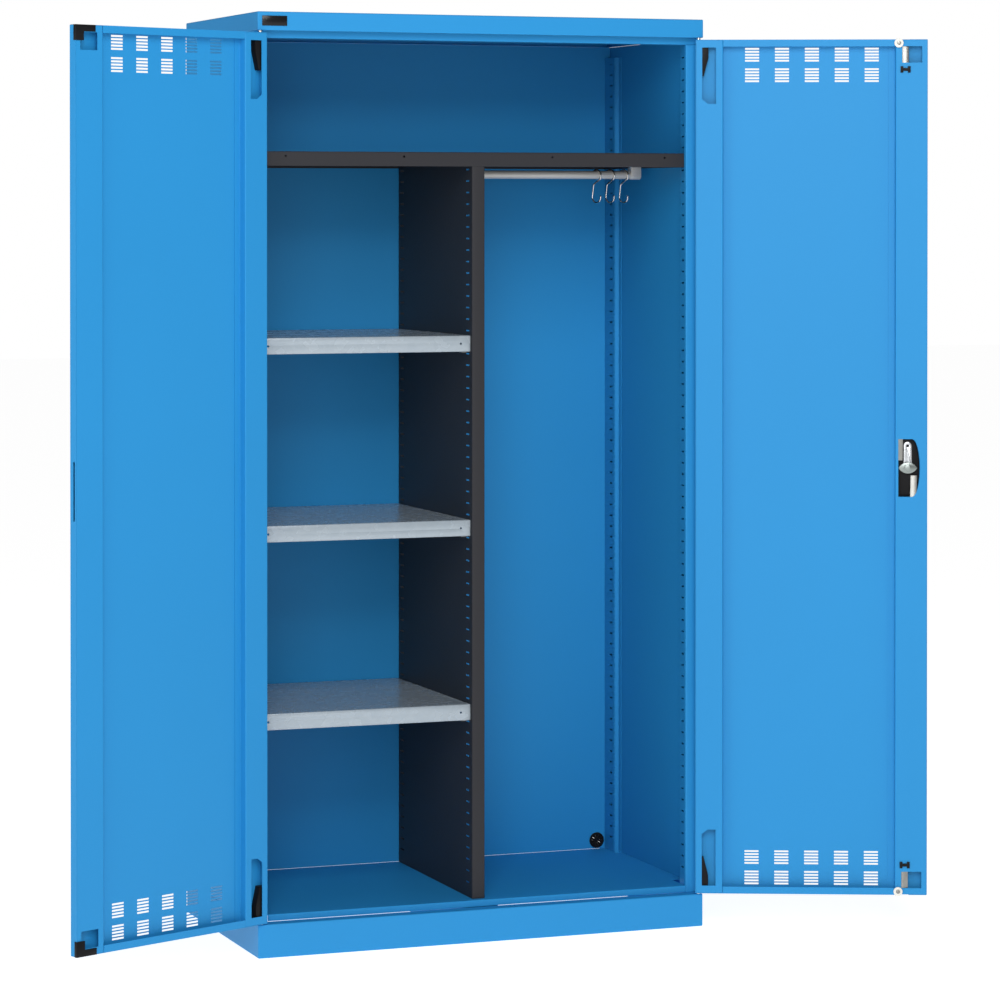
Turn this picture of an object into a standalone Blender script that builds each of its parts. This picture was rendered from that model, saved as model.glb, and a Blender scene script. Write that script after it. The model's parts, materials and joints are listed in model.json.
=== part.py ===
"""Two-door locker cabinet: a sheet-steel carcass with shelves, a clothes rail and lockable doors.

Metres, +Z up, +X to the right of someone facing the cabinet, +Y to its back. The origin is the centre
of the footprint, on the floor. The doors stand open at rest; closed doors lie in the plane of the front.
Positions on a door are given by u, the distance from its hinge edge (or from its free edge, where the name
says so), by s, the depth behind its outer face, and by the height z.
"""
import math

import bmesh
import bpy
from mathutils import Matrix, Vector

# Overall sizes
WIDTH = 1.023
DEPTH = 0.555
HEIGHT = 2.000
COVER_HEIGHT = 0.040
PLINTH_HEIGHT = 0.0715

# Sheet metal
SHEET = 0.0012
HEAVY_SHEET = 0.0015
SKIN = 0.0010
BEND = 0.0010          # inside radius of a fold
BEND_STEPS = 3
FOLD_INSIDE = 0.0008   # inside radius of a tray's folds
FOLD_STEPS = 2
GAP = 0.0003           # between pieces that touch
ROUND_STEPS = 20       # sides of a small round piece
ROUND_STEPS_FINE = 32  # sides of a larger one
HOLE_STEPS = 12        # sides of a small hole
CORNER_STEPS = 4       # sides of a round corner
CUT = 0.002            # how far a cutter reaches past the face it opens

# Carcass
CLOSED_ROOM = 0.0006   # between the uprights and what stands furthest in on a closed door
BACK_RECESS = 0.0180   # back panel ahead of the rear of the cover
COVER_LIP = 0.015
REAR_FLANGE = 0.020
BACK_FLANGE = 0.014
FLOOR_RISE = 0.015     # floor above the plinth
FLOOR_FLANGE = 0.0138
LINTEL_HEIGHT = 0.0145
LINTEL_UPSTAND = 0.030
LINTEL_SHELF = 0.026
LINTEL_RETURN = 0.010

# Uprights
FACE_WIDTH = 0.0290
FACE_RETURN = 0.0120
WEB_INSET = 0.0155     # slotted webs from the outside of the cabinet
FRONT_WEB_BACK = 0.0650
UPRIGHT_LIP = 0.0150
REAR_WEB_LENGTH = 0.0540
REAR_UPRIGHT_DROP = 0.0254
SLOT_PITCH = 0.025
SLOT_LENGTH = 0.022
SLOT_HEIGHT = 0.0035
FIRST_SLOT = 0.119
SHELF_ROWS = {"lower": 14, "middle": 30, "upper": 46}   # the row whose clips carry each shelf
TOP_SHELF_ROW = 62
FRONT_SLOT_BEHIND = 0.0455
REAR_SLOT_AHEAD = 0.0415
PARTITION_SLOT_AHEAD = 0.0295

# Plinth
PLINTH_LEDGE = 0.0300  # at the sides and the rear
PLINTH_FOOT = 0.0200
LEDGE_DROP = 0.0150
CROSS_WIDTH = 0.080

# Interior
TOP_SHELF_OVER_CLIP = 0.037
TOP_SHELF_HEIGHT = 0.031
TOP_SHELF_SETBACK = 0.0135
SHELF_OVER_CLIP = 0.040
SHELF_HEIGHT = 0.035
SHELF_SETBACK = 0.0240
SHELF_REAR_ROOM = 0.0045
SHELF_LIP = 0.015
SHELF_HOLE = 0.0050
SHELF_HOLE_IN = 0.0225
TOP_HOLE_DROP = 0.0100
TOP_HOLE_OUT = 0.0590  # holes in the front of the top shelf, from the slotted webs
TOP_HOLE_IN = 0.1710   # and from the middle
SIDE_ROOM = 0.0005
PARTITION_WIDTH = 0.0290
PARTITION_RETURN = 0.0150
PARTITION_SETBACK = 0.0155
PARTITION_REAR_ROOM = SIDE_ROOM + SHEET + SIDE_ROOM    # the rear wall of the top shelf passes behind it

# Clothes rail and hooks
RAIL_DIAMETER = 0.0185
RAIL_DROP = 0.0460     # rail below the top of the top shelf
RAIL_Y = 0.0200
RAIL_END = 0.0123      # rail end from the slotted web
BRACKET_LENGTH = 0.0245
BRACKET_WALL = 0.0012
BRACKET_STEPS = 12
RAIL_STEPS = 28
WIRE = 0.0035
HOOK_ROOM = 0.0003     # between the wire and the rail, at the sides of the loop
HOOK_CUP = 0.0122      # radius of the wire's middle line in the cup at the foot
HOOK_CUP_Z = -0.0505   # middle of the cup, from the rail's axis
HOOK_NECK = (0.0014, 0.0036)       # where the wire turns back under the rail, inside the loop's reach
HOOK_SHANK = (0.0085, 0.0089)      # top of the shank, behind the axis and below the loop's reach
HOOK_BEND = 0.0060
HOOK_BACK = 190.0      # degrees round the loop at which the wire ends behind the rail
HOOK_FRONT = -20.0
HOOK_TIP = 380.0       # degrees round the cup at which the wire ends
HOOK_TURN = 28.0       # degrees from square to the rail
HOOK_LOOP_STEPS = 14
HOOK_CUP_STEPS = 12
HOOKS_IN = {"left": 0.1331, "middle": 0.1001, "right": 0.0667}   # from the outside of the cabinet

# Cable grommet and label plate
GROMMET_DIAMETER = 0.0360
GROMMET_NECK = 0.0300
GROMMET_RIM = 0.0025
GROMMET_IN = 0.0360    # from the outside of the cabinet
GROMMET_UP = 0.0200    # above the floor
GROMMET_SLITS = 10
GROMMET_SLIT = (0.0050, 0.0133)    # where each slit starts and ends, from the middle
GROMMET_SLIT_WIDTH = 0.0012
LABEL_WIDTH = 0.0550
LABEL_HEIGHT = 0.0210
LABEL_THICKNESS = 0.0015
LABEL_IN = 0.0095
LABEL_DOWN = 0.0090

# Doors
LEFT_OPEN_ANGLE = 156.0
RIGHT_OPEN_ANGLE = 157.0
DOOR_THICKNESS = 0.020
DOOR_REVEAL = 0.0015   # hinge edge from the outside of the cabinet
DOOR_MEETING = 0.0030  # between the two closed doors
DOOR_SETBACK = 0.0010  # closed doors behind the front of the cover
DOOR_FOOT_ROOM = 0.0025
DOOR_HEAD_ROOM = 0.0045
DOOR_LIP = 0.0153
HINGE_FACE = 0.060
EDGE_FACE = 0.070
STIFFENER_LIP = 0.0150

# Door windows
HINGE_WINDOW = (0.0142, 0.0446)
HINGE_WINDOW_ENDS = (0.0172, 0.1410)
WINDOW_CHAMFER = (0.0130, 0.0100)
CORNER_WINDOW = (0.0120, 0.0560)
CORNER_WINDOW_ENDS = (0.0150, 0.0511)

# Vents
VENT_COLUMNS = 5
VENT_FIRST = 0.1087
VENT_COLUMN_PITCH = 0.0657
VENT_LENGTH = 0.0310
VENT_HEIGHT = 0.0040
VENT_PITCH = 0.00655
VENT_ROWS = 5
VENT_BLOCKS = 2        # at each end of a column
VENT_BLOCK_PITCH = 0.0451
VENT_FROM_END = 0.0195

# Hinges
PIN_DIAMETER = 0.008
PIN_ROOM = 0.0004
PIN_IN_DOOR = 0.0260
PIN_IN_FRAME = 0.0080
COLLAR_DIAMETER = 0.0120
COLLAR_HEIGHT = 0.0030
BLOCK_WALL = 0.0008    # pivot block round the pin's bore, towards the outer sheet
BLOCK_WIDTH = 0.0280
BLOCK_ROOM = 0.0028    # between the block and the inner face of the stiffener
BLOCK_HEIGHT = 0.0800
BLOCK_TAPER = (0.0177, 0.0400)

# Lock
SPINDLE_FROM_EDGE = 0.0425
SPINDLE_Z = 1.0140
SPINDLE_DIAMETER = 0.0090
SPINDLE_ROOM = 0.0004
LOCK_OPENING = (0.0161, 0.0634)
LOCK_OPENING_HEIGHT = 0.127
LOCK_BOW = 0.0169
LOCK_BOW_STEPS = 12
LOCK_CASE_ROOM = 0.0008
LEVER_THICKNESS = 0.0025
LEVER_ROOM = 0.0012    # lever to rods
LEVER_LENGTH = 0.0570
LEVER_WIDTH = 0.0176
LEVER_EYE = 0.0062
LEVER_STEPS = 10
CAM_THICKNESS = 0.0020
CAM_ROOM = 0.0006      # rods to cam
CAM_LENGTH = 0.0410
CAM_WIDTH = 0.0244
BOSS_DIAMETER = 0.0156
BOSS_HEIGHT = 0.0022
CAM_STEPS = 10
EDGE_SLOT_ROOM = (0.0015, 0.0018)  # slot in the free edge round the lever, towards the front and the back
EDGE_SLOT_HEIGHT = 0.1200
ESCUTCHEON = (0.0440, 0.1500, 0.0030)
ESCUTCHEON_CORNER = 0.0120
HUB_DIAMETER = 0.0240
HUB_HEIGHT = 0.0165
GRIP = (0.0800, 0.0220, 0.0110)
PLUG_DIAMETER = 0.0120
PLUG_DEPTH = 0.0100
KEYWAY = (0.0020, 0.0070, 0.0040)

# Locking rods and rollers
ROD_WIDTH = 0.0144
ROD_THICKNESS = 0.0025
ROD_SINK = 0.0008      # rods below the inner face of the stiffener
UPPER_ROD_AT_LOCK = 0.0612
LOWER_ROD_AT_LOCK = 0.0293
ROD_AT_GUIDE = 0.0486
ROD_FROM_SPINDLE = 0.0165
GUIDE_FROM_END = 0.0661
ROLLER_FROM_EDGE = 0.0633
ROLLER_FROM_END = 0.0080
ROLLER_DIAMETER = 0.0200
ROLLER_THICKNESS = 0.0052
ROLLER_ROOM = 0.0005   # roller to the inner face of the door
ROLLER_PIN = 0.0050
ROLLER_BORE_ROOM = 0.0004
ROD_TAB = 0.0045
PIN_HEAD = 0.0090
PIN_HEAD_HEIGHT = 0.0009
ROD_CLEARANCE = 0.0015
GUIDE_MARGIN = 0.0005  # pad beyond its prongs
GUIDE_HEIGHT = 0.0140
GUIDE_THICKNESS = 0.0020
GUIDE_WAIST = 0.0065
GUIDE_PRONG = (0.0024, 0.0060)
GUIDE_PRONG_ROOM = 0.0009

# Corner guards on the left door
GUARD_ARM = (0.0500, 0.0138)
GUARD_LEG = (0.0200, 0.0320)
GUARD_THICKNESS = 0.0020
GUARD_WRAP = 0.0060
GUARD_SIDE = 0.0010

# Depths on a door, behind its outer face: each piece lies over the one before with its own clearance
PIVOT_BACK = SKIN + GAP + BLOCK_WALL + PIN_ROOM + PIN_DIAMETER / 2
PIVOT_IN = PIVOT_BACK
BLOCK_BACK = DOOR_THICKNESS - SHEET - BLOCK_ROOM
ROD_TOP = DOOR_THICKNESS - SHEET - ROD_SINK
ROD_LAYER = (ROD_TOP - ROD_THICKNESS, ROD_TOP)
CAM_LAYER = (ROD_TOP + CAM_ROOM, ROD_TOP + CAM_ROOM + CAM_THICKNESS)
LEVER_TOP = ROD_LAYER[0] - LEVER_ROOM
LEVER_LAYER = (LEVER_TOP - LEVER_THICKNESS, LEVER_TOP)
LOCK_CASE_BACK = LEVER_LAYER[0] - LOCK_CASE_ROOM
EDGE_SLOT = (LEVER_LAYER[0] - EDGE_SLOT_ROOM[0], LEVER_LAYER[1] + EDGE_SLOT_ROOM[1])
ROLLER_FACE = DOOR_THICKNESS + ROLLER_ROOM
ROLLER_LAYER = (ROLLER_FACE, ROLLER_FACE + ROLLER_THICKNESS)
PIN_HEAD_LAYER = (ROLLER_LAYER[1] + GAP, ROLLER_LAYER[1] + GAP + PIN_HEAD_HEIGHT)

# Places worked out from the sizes above
FRONT = -DEPTH / 2
FRONT_RECESS = DOOR_SETBACK + PIN_HEAD_LAYER[1] + CLOSED_ROOM
FRONT_LEDGE = FRONT_RECESS + SHEET + GAP
CARCASS_FRONT = FRONT + FRONT_RECESS
BACK_INNER = DEPTH / 2 - BACK_RECESS
SIDE_INNER = WIDTH / 2 - SHEET
WEB_X = WIDTH / 2 - WEB_INSET
COVER_Z = HEIGHT - COVER_HEIGHT
CARCASS_FOOT = PLINTH_HEIGHT + GAP
CARCASS_HEAD = COVER_Z - GAP
FLOOR_TOP = PLINTH_HEIGHT + FLOOR_RISE
LINTEL_FOOT = COVER_Z - LINTEL_HEIGHT
PARTITION_FRONT = CARCASS_FRONT + PARTITION_SETBACK
PARTITION_BACK = BACK_INNER - PARTITION_REAR_ROOM
DOOR_WIDTH = WIDTH / 2 - DOOR_REVEAL - DOOR_MEETING / 2
DOOR_FOOT = PLINTH_HEIGHT + DOOR_FOOT_ROOM
DOOR_HEAD = COVER_Z - DOOR_HEAD_ROOM
PIVOT_X = WIDTH / 2 - DOOR_REVEAL - PIVOT_IN
PIVOT_Y = FRONT + DOOR_SETBACK + PIVOT_BACK
DOOR_OUTER_Y = FRONT + DOOR_SETBACK
ROLLER_X = DOOR_MEETING / 2 + ROLLER_FROM_EDGE
CLIP_Z = {key: FIRST_SLOT + row * SLOT_PITCH for key, row in SHELF_ROWS.items()}
TOP_CLIP_Z = FIRST_SLOT + TOP_SHELF_ROW * SLOT_PITCH
TOP_SHELF_Z = TOP_CLIP_Z + TOP_SHELF_OVER_CLIP
RAIL_Z = TOP_SHELF_Z - RAIL_DROP
HOOK_LOOP = (RAIL_DIAMETER / 2 + HOOK_ROOM + WIRE / 2) / math.cos(math.radians(HOOK_TURN))
GROMMET_X = WIDTH / 2 - GROMMET_IN
GROMMET_Z = FLOOR_TOP + GROMMET_UP
PIN_HOLE = PIN_DIAMETER / 2 + PIN_ROOM
SPINDLE_HOLE = SPINDLE_DIAMETER / 2 + SPINDLE_ROOM


# ---------------------------------------------------------------- materials

def material(name, colour, roughness, metallic):
    mat = bpy.data.materials.new(name)
    mat.use_nodes = True
    shader = mat.node_tree.nodes["Principled BSDF"]
    shader.inputs["Base Color"].default_value = (*colour, 1.0)
    shader.inputs["Roughness"].default_value = roughness
    shader.inputs["Metallic"].default_value = metallic
    mat.diffuse_color = (*colour, 1.0)
    return mat


def blue_paint():
    return material("blue_paint", (0.034, 0.258, 0.604), 0.35, 0.0)


def anthracite_paint():
    return material("anthracite_paint", (0.045, 0.045, 0.052), 0.45, 0.0)


def galvanised_steel():
    return material("galvanised_steel", (0.48, 0.50, 0.52), 0.38, 0.9)


def black_plastic():
    return material("black_plastic", (0.015, 0.015, 0.016), 0.40, 0.0)


def white_nylon():
    return material("white_nylon", (0.80, 0.77, 0.70), 0.40, 0.0)


def rail_grey():
    return material("rail_grey", (0.46, 0.45, 0.43), 0.40, 0.3)


def bright_steel():
    return material("bright_steel", (0.62, 0.62, 0.63), 0.25, 1.0)


# ---------------------------------------------------------------- shapes

def clear_scene():
    for obj in list(bpy.data.objects):
        bpy.data.objects.remove(obj, do_unlink=True)


def new_object(name, mesh, mat=None, parent=None):
    obj = bpy.data.objects.new(name, mesh)
    bpy.context.collection.objects.link(obj)
    if mat is not None:
        mesh.materials.append(mat)
    obj.parent = parent
    return obj


def pivot(name, location, parent=None, angle=0.0):
    """An empty on a joint's axis, turned about Z."""
    empty = bpy.data.objects.new(name, None)
    bpy.context.collection.objects.link(empty)
    empty.parent = parent
    empty.location = location
    empty.rotation_euler.z = math.radians(angle)
    return empty


def add_prism(bm, outline, axis, start, end):
    """Extrude a closed outline along X, Y or Z; the outline is in the other two coordinates, in order."""
    place = {
        "X": lambda a, b, t: (t, a, b),
        "Y": lambda a, b, t: (a, t, b),
        "Z": lambda a, b, t: (a, b, t),
    }[axis]
    low = [bm.verts.new(place(a, b, start)) for a, b in outline]
    high = [bm.verts.new(place(a, b, end)) for a, b in outline]
    bm.faces.new(low)
    bm.faces.new(list(reversed(high)))
    for i in range(len(low)):
        j = (i + 1) % len(low)
        bm.faces.new((low[j], low[i], high[i], high[j]))


def add_box(bm, low, high):
    outline = [(low[0], low[1]), (high[0], low[1]), (high[0], high[1]), (low[0], high[1])]
    add_prism(bm, outline, "Z", low[2], high[2])


def ring(radius, centre=(0.0, 0.0), steps=ROUND_STEPS):
    return [(centre[0] + radius * math.cos(2 * math.pi * k / steps),
             centre[1] + radius * math.sin(2 * math.pi * k / steps)) for k in range(steps)]


def rounded(width, height, corner, steps=CORNER_STEPS):
    """A rectangle with round corners, centred on zero."""
    points = []
    for quarter, (sx, sy) in enumerate(((1, 1), (-1, 1), (-1, -1), (1, -1))):
        for k in range(steps + 1):
            angle = math.pi / 2 * (quarter + k / steps)
            points.append((sx * (width / 2 - corner) + corner * math.cos(angle),
                           sy * (height / 2 - corner) + corner * math.sin(angle)))
    return points


def arc(centre, radius, start, end, steps):
    """Points along an arc, between two angles in degrees."""
    angles = [math.radians(start + (end - start) * k / steps) for k in range(steps + 1)]
    return [Vector((centre[0] + radius * math.cos(a), centre[1] + radius * math.sin(a))) for a in angles]


def folded(path, thickness=SHEET, inside=BEND, steps=BEND_STEPS):
    """The outline of a folded sheet whose middle line follows the path, bent round at each corner."""
    points = [Vector(p) for p in path]
    half = thickness / 2
    middle = inside + half
    left = []
    right = []
    for i, point in enumerate(points):
        if i in (0, len(points) - 1):
            along = (points[1] - points[0] if i == 0 else points[-1] - points[-2]).normalized()
            side = Vector((-along.y, along.x)) * half
            left.append(point + side)
            right.append(point - side)
            continue
        before = (point - points[i - 1]).normalized()
        after = (points[i + 1] - point).normalized()
        sign = 1 if before.cross(after) > 0 else -1
        angle = before.angle(after)
        start = point - before * middle * math.tan(angle / 2)
        centre = start + Vector((-before.y, before.x)) * middle * sign
        for k in range(steps + 1):
            spoke = Matrix.Rotation(sign * angle * k / steps, 2) @ (start - centre) / middle
            left.append(centre + spoke * (middle - sign * half))
            right.append(centre + spoke * (middle + sign * half))
    return [tuple(p) for p in left + right[::-1]]


def finish_mesh(bm, name, smooth=False):
    bmesh.ops.recalc_face_normals(bm, faces=bm.faces)
    mesh = bpy.data.meshes.new(name)
    bm.to_mesh(mesh)
    bm.free()
    if smooth:
        mesh.shade_smooth()
        mesh.set_sharp_from_angle(angle=math.radians(30))
    return mesh


def box(name, low, high, mat, parent=None):
    bm = bmesh.new()
    add_box(bm, low, high)
    return new_object(name, finish_mesh(bm, name), mat, parent)


def prism(name, outline, axis, start, end, mat, parent=None, smooth=False):
    bm = bmesh.new()
    add_prism(bm, outline, axis, start, end)
    return new_object(name, finish_mesh(bm, name, smooth), mat, parent)


def boolean(obj, other, operation):
    """Attach a helper object as an exact Boolean."""
    other.hide_render = True
    other.display_type = "WIRE"
    other.parent = obj.parent
    modifier = obj.modifiers.new(other.name, "BOOLEAN")
    modifier.operation = operation
    modifier.solver = "EXACT"
    modifier.object = other


def add_rounded_box(bm, low, high, radius, open_back):
    """A box with round edges; with open_back, the edges of its rear face stay sharp."""
    add_box(bm, low, high)
    bm.edges.ensure_lookup_table()
    back = max(v.co.y for v in bm.verts)
    edges = [e for e in bm.edges if not (open_back and all(v.co.y > back - GAP for v in e.verts))]
    bmesh.ops.bevel(bm, geom=edges, offset=radius, segments=FOLD_STEPS, affect="EDGES", profile=0.5)


def tray(name, low, high, sheet, mat, parent=None, open_back=False):
    """A closed box of folded sheet, hollow inside, with round folds."""
    bm = bmesh.new()
    add_rounded_box(bm, low, high, sheet + FOLD_INSIDE, open_back)
    hollow = new_object(name, finish_mesh(bm, name), mat, parent)
    bm = bmesh.new()
    add_rounded_box(bm, [v + sheet for v in low], [v - sheet for v in high], FOLD_INSIDE, open_back)
    inside_name = f"cut_{name}_inside"
    boolean(hollow, new_object(inside_name, finish_mesh(bm, inside_name)), "DIFFERENCE")
    return hollow


def cut_boxes(obj, label, boxes):
    """Cut separate boxes, given as (low, high), away from a piece."""
    bm = bmesh.new()
    for low, high in boxes:
        add_box(bm, low, high)
    name = f"cut_{obj.name}_{label}"
    boolean(obj, new_object(name, finish_mesh(bm, name)), "DIFFERENCE")


def cut_prisms(obj, label, prisms):
    """Cut separate prisms, given as (outline, axis, start, end), away from a piece."""
    bm = bmesh.new()
    for outline, axis, start, end in prisms:
        add_prism(bm, outline, axis, start, end)
    name = f"cut_{obj.name}_{label}"
    boolean(obj, new_object(name, finish_mesh(bm, name)), "DIFFERENCE")


def join_prisms(obj, label, prisms):
    """Join prisms to a piece as one body."""
    bm = bmesh.new()
    for outline, axis, start, end in prisms:
        add_prism(bm, outline, axis, start, end)
    name = f"join_{obj.name}_{label}"
    boolean(obj, new_object(name, finish_mesh(bm, name)), "UNION")


# ---------------------------------------------------------------- carcass

def pin_holes(foot, head):
    """Prisms that cut the holes of the hinge pins, one on each side of the cabinet."""
    return [(ring(PIN_HOLE, (side * PIVOT_X, PIVOT_Y)), "Z", foot, head) for side in (-1, 1)]


def top_cover(mat):
    """A tray turned upside down, with a lip all round its foot and holes for the upper hinge pins."""
    half_x = WIDTH / 2
    half_y = DEPTH / 2
    cover = tray("top_cover", (-half_x, -half_y, COVER_Z), (half_x, half_y, HEIGHT), SHEET, mat)
    cut_boxes(cover, "foot", [((-half_x + COVER_LIP, -half_y + COVER_LIP, COVER_Z - CUT),
                               (half_x - COVER_LIP, half_y - COVER_LIP, COVER_Z + SHEET + CUT))])
    cut_prisms(cover, "pins", pin_holes(COVER_Z - CUT, COVER_Z + SHEET + CUT))


def label_plate(mat):
    """A blank plate on the front of the cover."""
    left = -WIDTH / 2 + LABEL_IN
    top = HEIGHT - LABEL_DOWN
    back = FRONT - GAP
    low = (left, back - LABEL_THICKNESS, top - LABEL_HEIGHT)
    box("label_plate", low, (left + LABEL_WIDTH, back, top), mat)


def side_panel(side, mat):
    name = "right_side_panel" if side > 0 else "left_side_panel"
    wall = side * (WIDTH / 2 - SHEET / 2)
    rear = DEPTH / 2 - SHEET / 2
    path = [(wall, CARCASS_FRONT), (wall, rear), (wall - side * REAR_FLANGE, rear)]
    prism(name, folded(path), "Z", CARCASS_FOOT, CARCASS_HEAD, mat)


def back_panel(mat):
    """A sheet with a rearward flange down each side and a hole for the cable grommet."""
    side = SIDE_INNER - SHEET / 2 - GAP
    face = BACK_INNER + SHEET / 2
    rear = face + BACK_FLANGE
    path = [(-side, rear), (-side, face), (side, face), (side, rear)]
    panel = prism("back_panel", folded(path), "Z", FLOOR_TOP + GAP, CARCASS_HEAD, mat)
    hole = ring(GROMMET_NECK / 2 + GAP, (GROMMET_X, GROMMET_Z))
    cut_prisms(panel, "cable_hole", [(hole, "Y", BACK_INNER - CUT, BACK_INNER + SHEET + CUT)])


def slot_boxes(x, y_centre, heights):
    """Boxes that cut clip slots through a sheet at x, one at each height."""
    front = y_centre - SLOT_LENGTH / 2
    back = y_centre + SLOT_LENGTH / 2
    half = SLOT_HEIGHT / 2
    return [((x - CUT, front, z - half), (x + CUT, back, z + half)) for z in heights]


def cut_clip_slots(obj, x, y_centre):
    """The slots that the clips of all the shelves hang in."""
    cut_boxes(obj, "clip_slots", slot_boxes(x, y_centre, [*CLIP_Z.values(), TOP_CLIP_Z]))


def front_upright(side, mat):
    name = "front_right_upright" if side > 0 else "front_left_upright"
    outer = SIDE_INNER - GAP
    lip = outer - SHEET / 2
    face_y = CARCASS_FRONT + SHEET / 2
    face_x = WIDTH / 2 - FACE_WIDTH + SHEET / 2
    return_y = CARCASS_FRONT + FACE_RETURN
    web = WEB_X + SHEET / 2
    web_back = CARCASS_FRONT + FRONT_WEB_BACK
    path = [(outer, face_y), (face_x, face_y), (face_x, return_y), (web, return_y), (web, web_back),
            (lip, web_back), (lip, web_back + UPRIGHT_LIP)]
    outline = folded([(side * x, y) for x, y in path])
    upright = prism(name, outline, "Z", CARCASS_FOOT, LINTEL_FOOT - GAP, mat)
    cut_clip_slots(upright, side * web, CARCASS_FRONT + FRONT_SLOT_BEHIND)


def rear_upright(side, mat):
    name = "rear_right_upright" if side > 0 else "rear_left_upright"
    lip = SIDE_INNER - GAP - SHEET / 2
    web = WEB_X + SHEET / 2
    web_front = BACK_INNER - REAR_WEB_LENGTH
    path = [(web, BACK_INNER - GAP), (web, web_front), (lip, web_front), (lip, web_front - UPRIGHT_LIP)]
    outline = folded([(side * x, y) for x, y in path])
    upright = prism(name, outline, "Z", CARCASS_FOOT, COVER_Z - REAR_UPRIGHT_DROP, mat)
    cut_clip_slots(upright, side * web, BACK_INNER - REAR_SLOT_AHEAD)


def lintel(mat):
    """The rail over the doorway; the upper roller rises between it and the cover's lip."""
    face = CARCASS_FRONT + SHEET / 2
    foot = LINTEL_FOOT + SHEET / 2
    rear = CARCASS_FRONT + LINTEL_SHELF
    path = [(face, COVER_Z + LINTEL_UPSTAND), (face, foot), (rear, foot), (rear, foot + LINTEL_RETURN)]
    end = SIDE_INNER - GAP
    rail = prism("lintel", folded(path), "X", -end, end, mat)
    inside = WIDTH / 2 - COVER_LIP - SIDE_ROOM
    head = COVER_Z + LINTEL_UPSTAND + CUT
    cut_boxes(rail, "ends", [((x0, CARCASS_FRONT - CUT, CARCASS_HEAD), (x1, rear, head))
                             for x0, x1 in ((-end - CUT, -inside), (inside, end + CUT))])


def floor_tray(mat):
    """The floor, folded down at the front and clear of the uprights."""
    top = FLOOR_TOP - SHEET / 2
    front = CARCASS_FRONT + SHEET / 2
    end = SIDE_INNER - GAP
    path = [(BACK_INNER - GAP, top), (front, top), (front, FLOOR_TOP - FLOOR_FLANGE)]
    floor = prism("floor_tray", folded(path), "X", -end, end, mat)
    low = PLINTH_HEIGHT
    high = FLOOR_TOP + CUT
    face_x = WIDTH / 2 - FACE_WIDTH - SIDE_ROOM
    front_y = CARCASS_FRONT + FRONT_WEB_BACK + UPRIGHT_LIP + SIDE_ROOM
    rear_y = BACK_INNER - REAR_WEB_LENGTH - UPRIGHT_LIP - SIDE_ROOM
    rear_x = WEB_X - SIDE_ROOM
    boxes = []
    for side in (-1, 1):
        front_x = sorted((side * face_x, side * (end + CUT)))
        back_x = sorted((side * rear_x, side * (end + CUT)))
        boxes.append(((front_x[0], CARCASS_FRONT - CUT, low), (front_x[1], front_y, high)))
        boxes.append(((back_x[0], rear_y, low), (back_x[1], BACK_INNER + CUT, high)))
    cut_boxes(floor, "corners", boxes)


def plinth(mat):
    """A closed frame of channel section; the lower roller locks in a slot in its front ledge."""
    half_x = WIDTH / 2
    half_y = DEPTH / 2
    frame = tray("plinth", (-half_x, -half_y, 0.0), (half_x, half_y, PLINTH_HEIGHT), HEAVY_SHEET, mat)
    cut_boxes(frame, "openings", [
        ((-half_x + PLINTH_LEDGE, -half_y + FRONT_LEDGE, PLINTH_HEIGHT - HEAVY_SHEET - CUT),
         (half_x - PLINTH_LEDGE, half_y - PLINTH_LEDGE, PLINTH_HEIGHT + CUT)),
        ((-half_x + PLINTH_FOOT, -half_y + PLINTH_FOOT, -CUT),
         (half_x - PLINTH_FOOT, half_y - PLINTH_FOOT, HEAVY_SHEET + CUT))])
    drop_y = -half_y + FRONT_LEDGE
    drop_x = half_x - PLINTH_LEDGE - CUT
    outline = [(drop_y - SHEET, PLINTH_HEIGHT - LEDGE_DROP), (drop_y, PLINTH_HEIGHT - LEDGE_DROP),
               (drop_y, PLINTH_HEIGHT - HEAVY_SHEET / 2), (drop_y - SHEET, PLINTH_HEIGHT - HEAVY_SHEET / 2)]
    join_prisms(frame, "drop", [(outline, "X", -drop_x, drop_x)])
    slot_front = DOOR_OUTER_Y + ROD_LAYER[0] - ROD_CLEARANCE
    slot_back = CARCASS_FRONT - GAP
    slot_left = DOOR_MEETING / 2 + ROD_AT_GUIDE - ROD_WIDTH / 2 - ROD_CLEARANCE
    slot_right = ROLLER_X + ROLLER_DIAMETER / 2 + ROD_CLEARANCE
    foot = PLINTH_HEIGHT - HEAVY_SHEET - CUT
    head = PLINTH_HEIGHT + CUT
    cut_boxes(frame, "lock_slot", [((slot_left, slot_front, foot), (slot_right, slot_back, head))])
    cut_prisms(frame, "hinge_pins", pin_holes(foot, head))


def cross_member(mat):
    """The channel that stands on the ground under the middle of the floor."""
    half = CROSS_WIDTH / 2 - HEAVY_SHEET / 2
    top = FLOOR_TOP - SHEET - GAP
    path = [(-half, top), (-half, HEAVY_SHEET / 2), (half, HEAVY_SHEET / 2), (half, top)]
    front = FRONT + FRONT_LEDGE + GAP
    rear = DEPTH / 2 - PLINTH_LEDGE - GAP
    prism("floor_cross_member", folded(path, HEAVY_SHEET), "Y", front, rear, mat)


# ---------------------------------------------------------------- interior

def shelf_tray(name, low, high, sheet, lip, mat):
    """A shelf: a tray turned upside down, with a lip along the foot of its front."""
    piece = tray(name, low, high, sheet, mat)
    rim = sheet + FOLD_INSIDE
    cut_boxes(piece, "foot", [((low[0] + sheet, low[1] + lip, low[2] - CUT),
                               (high[0] - sheet, high[1] - sheet, low[2] + rim + CUT))])
    return piece


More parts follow.
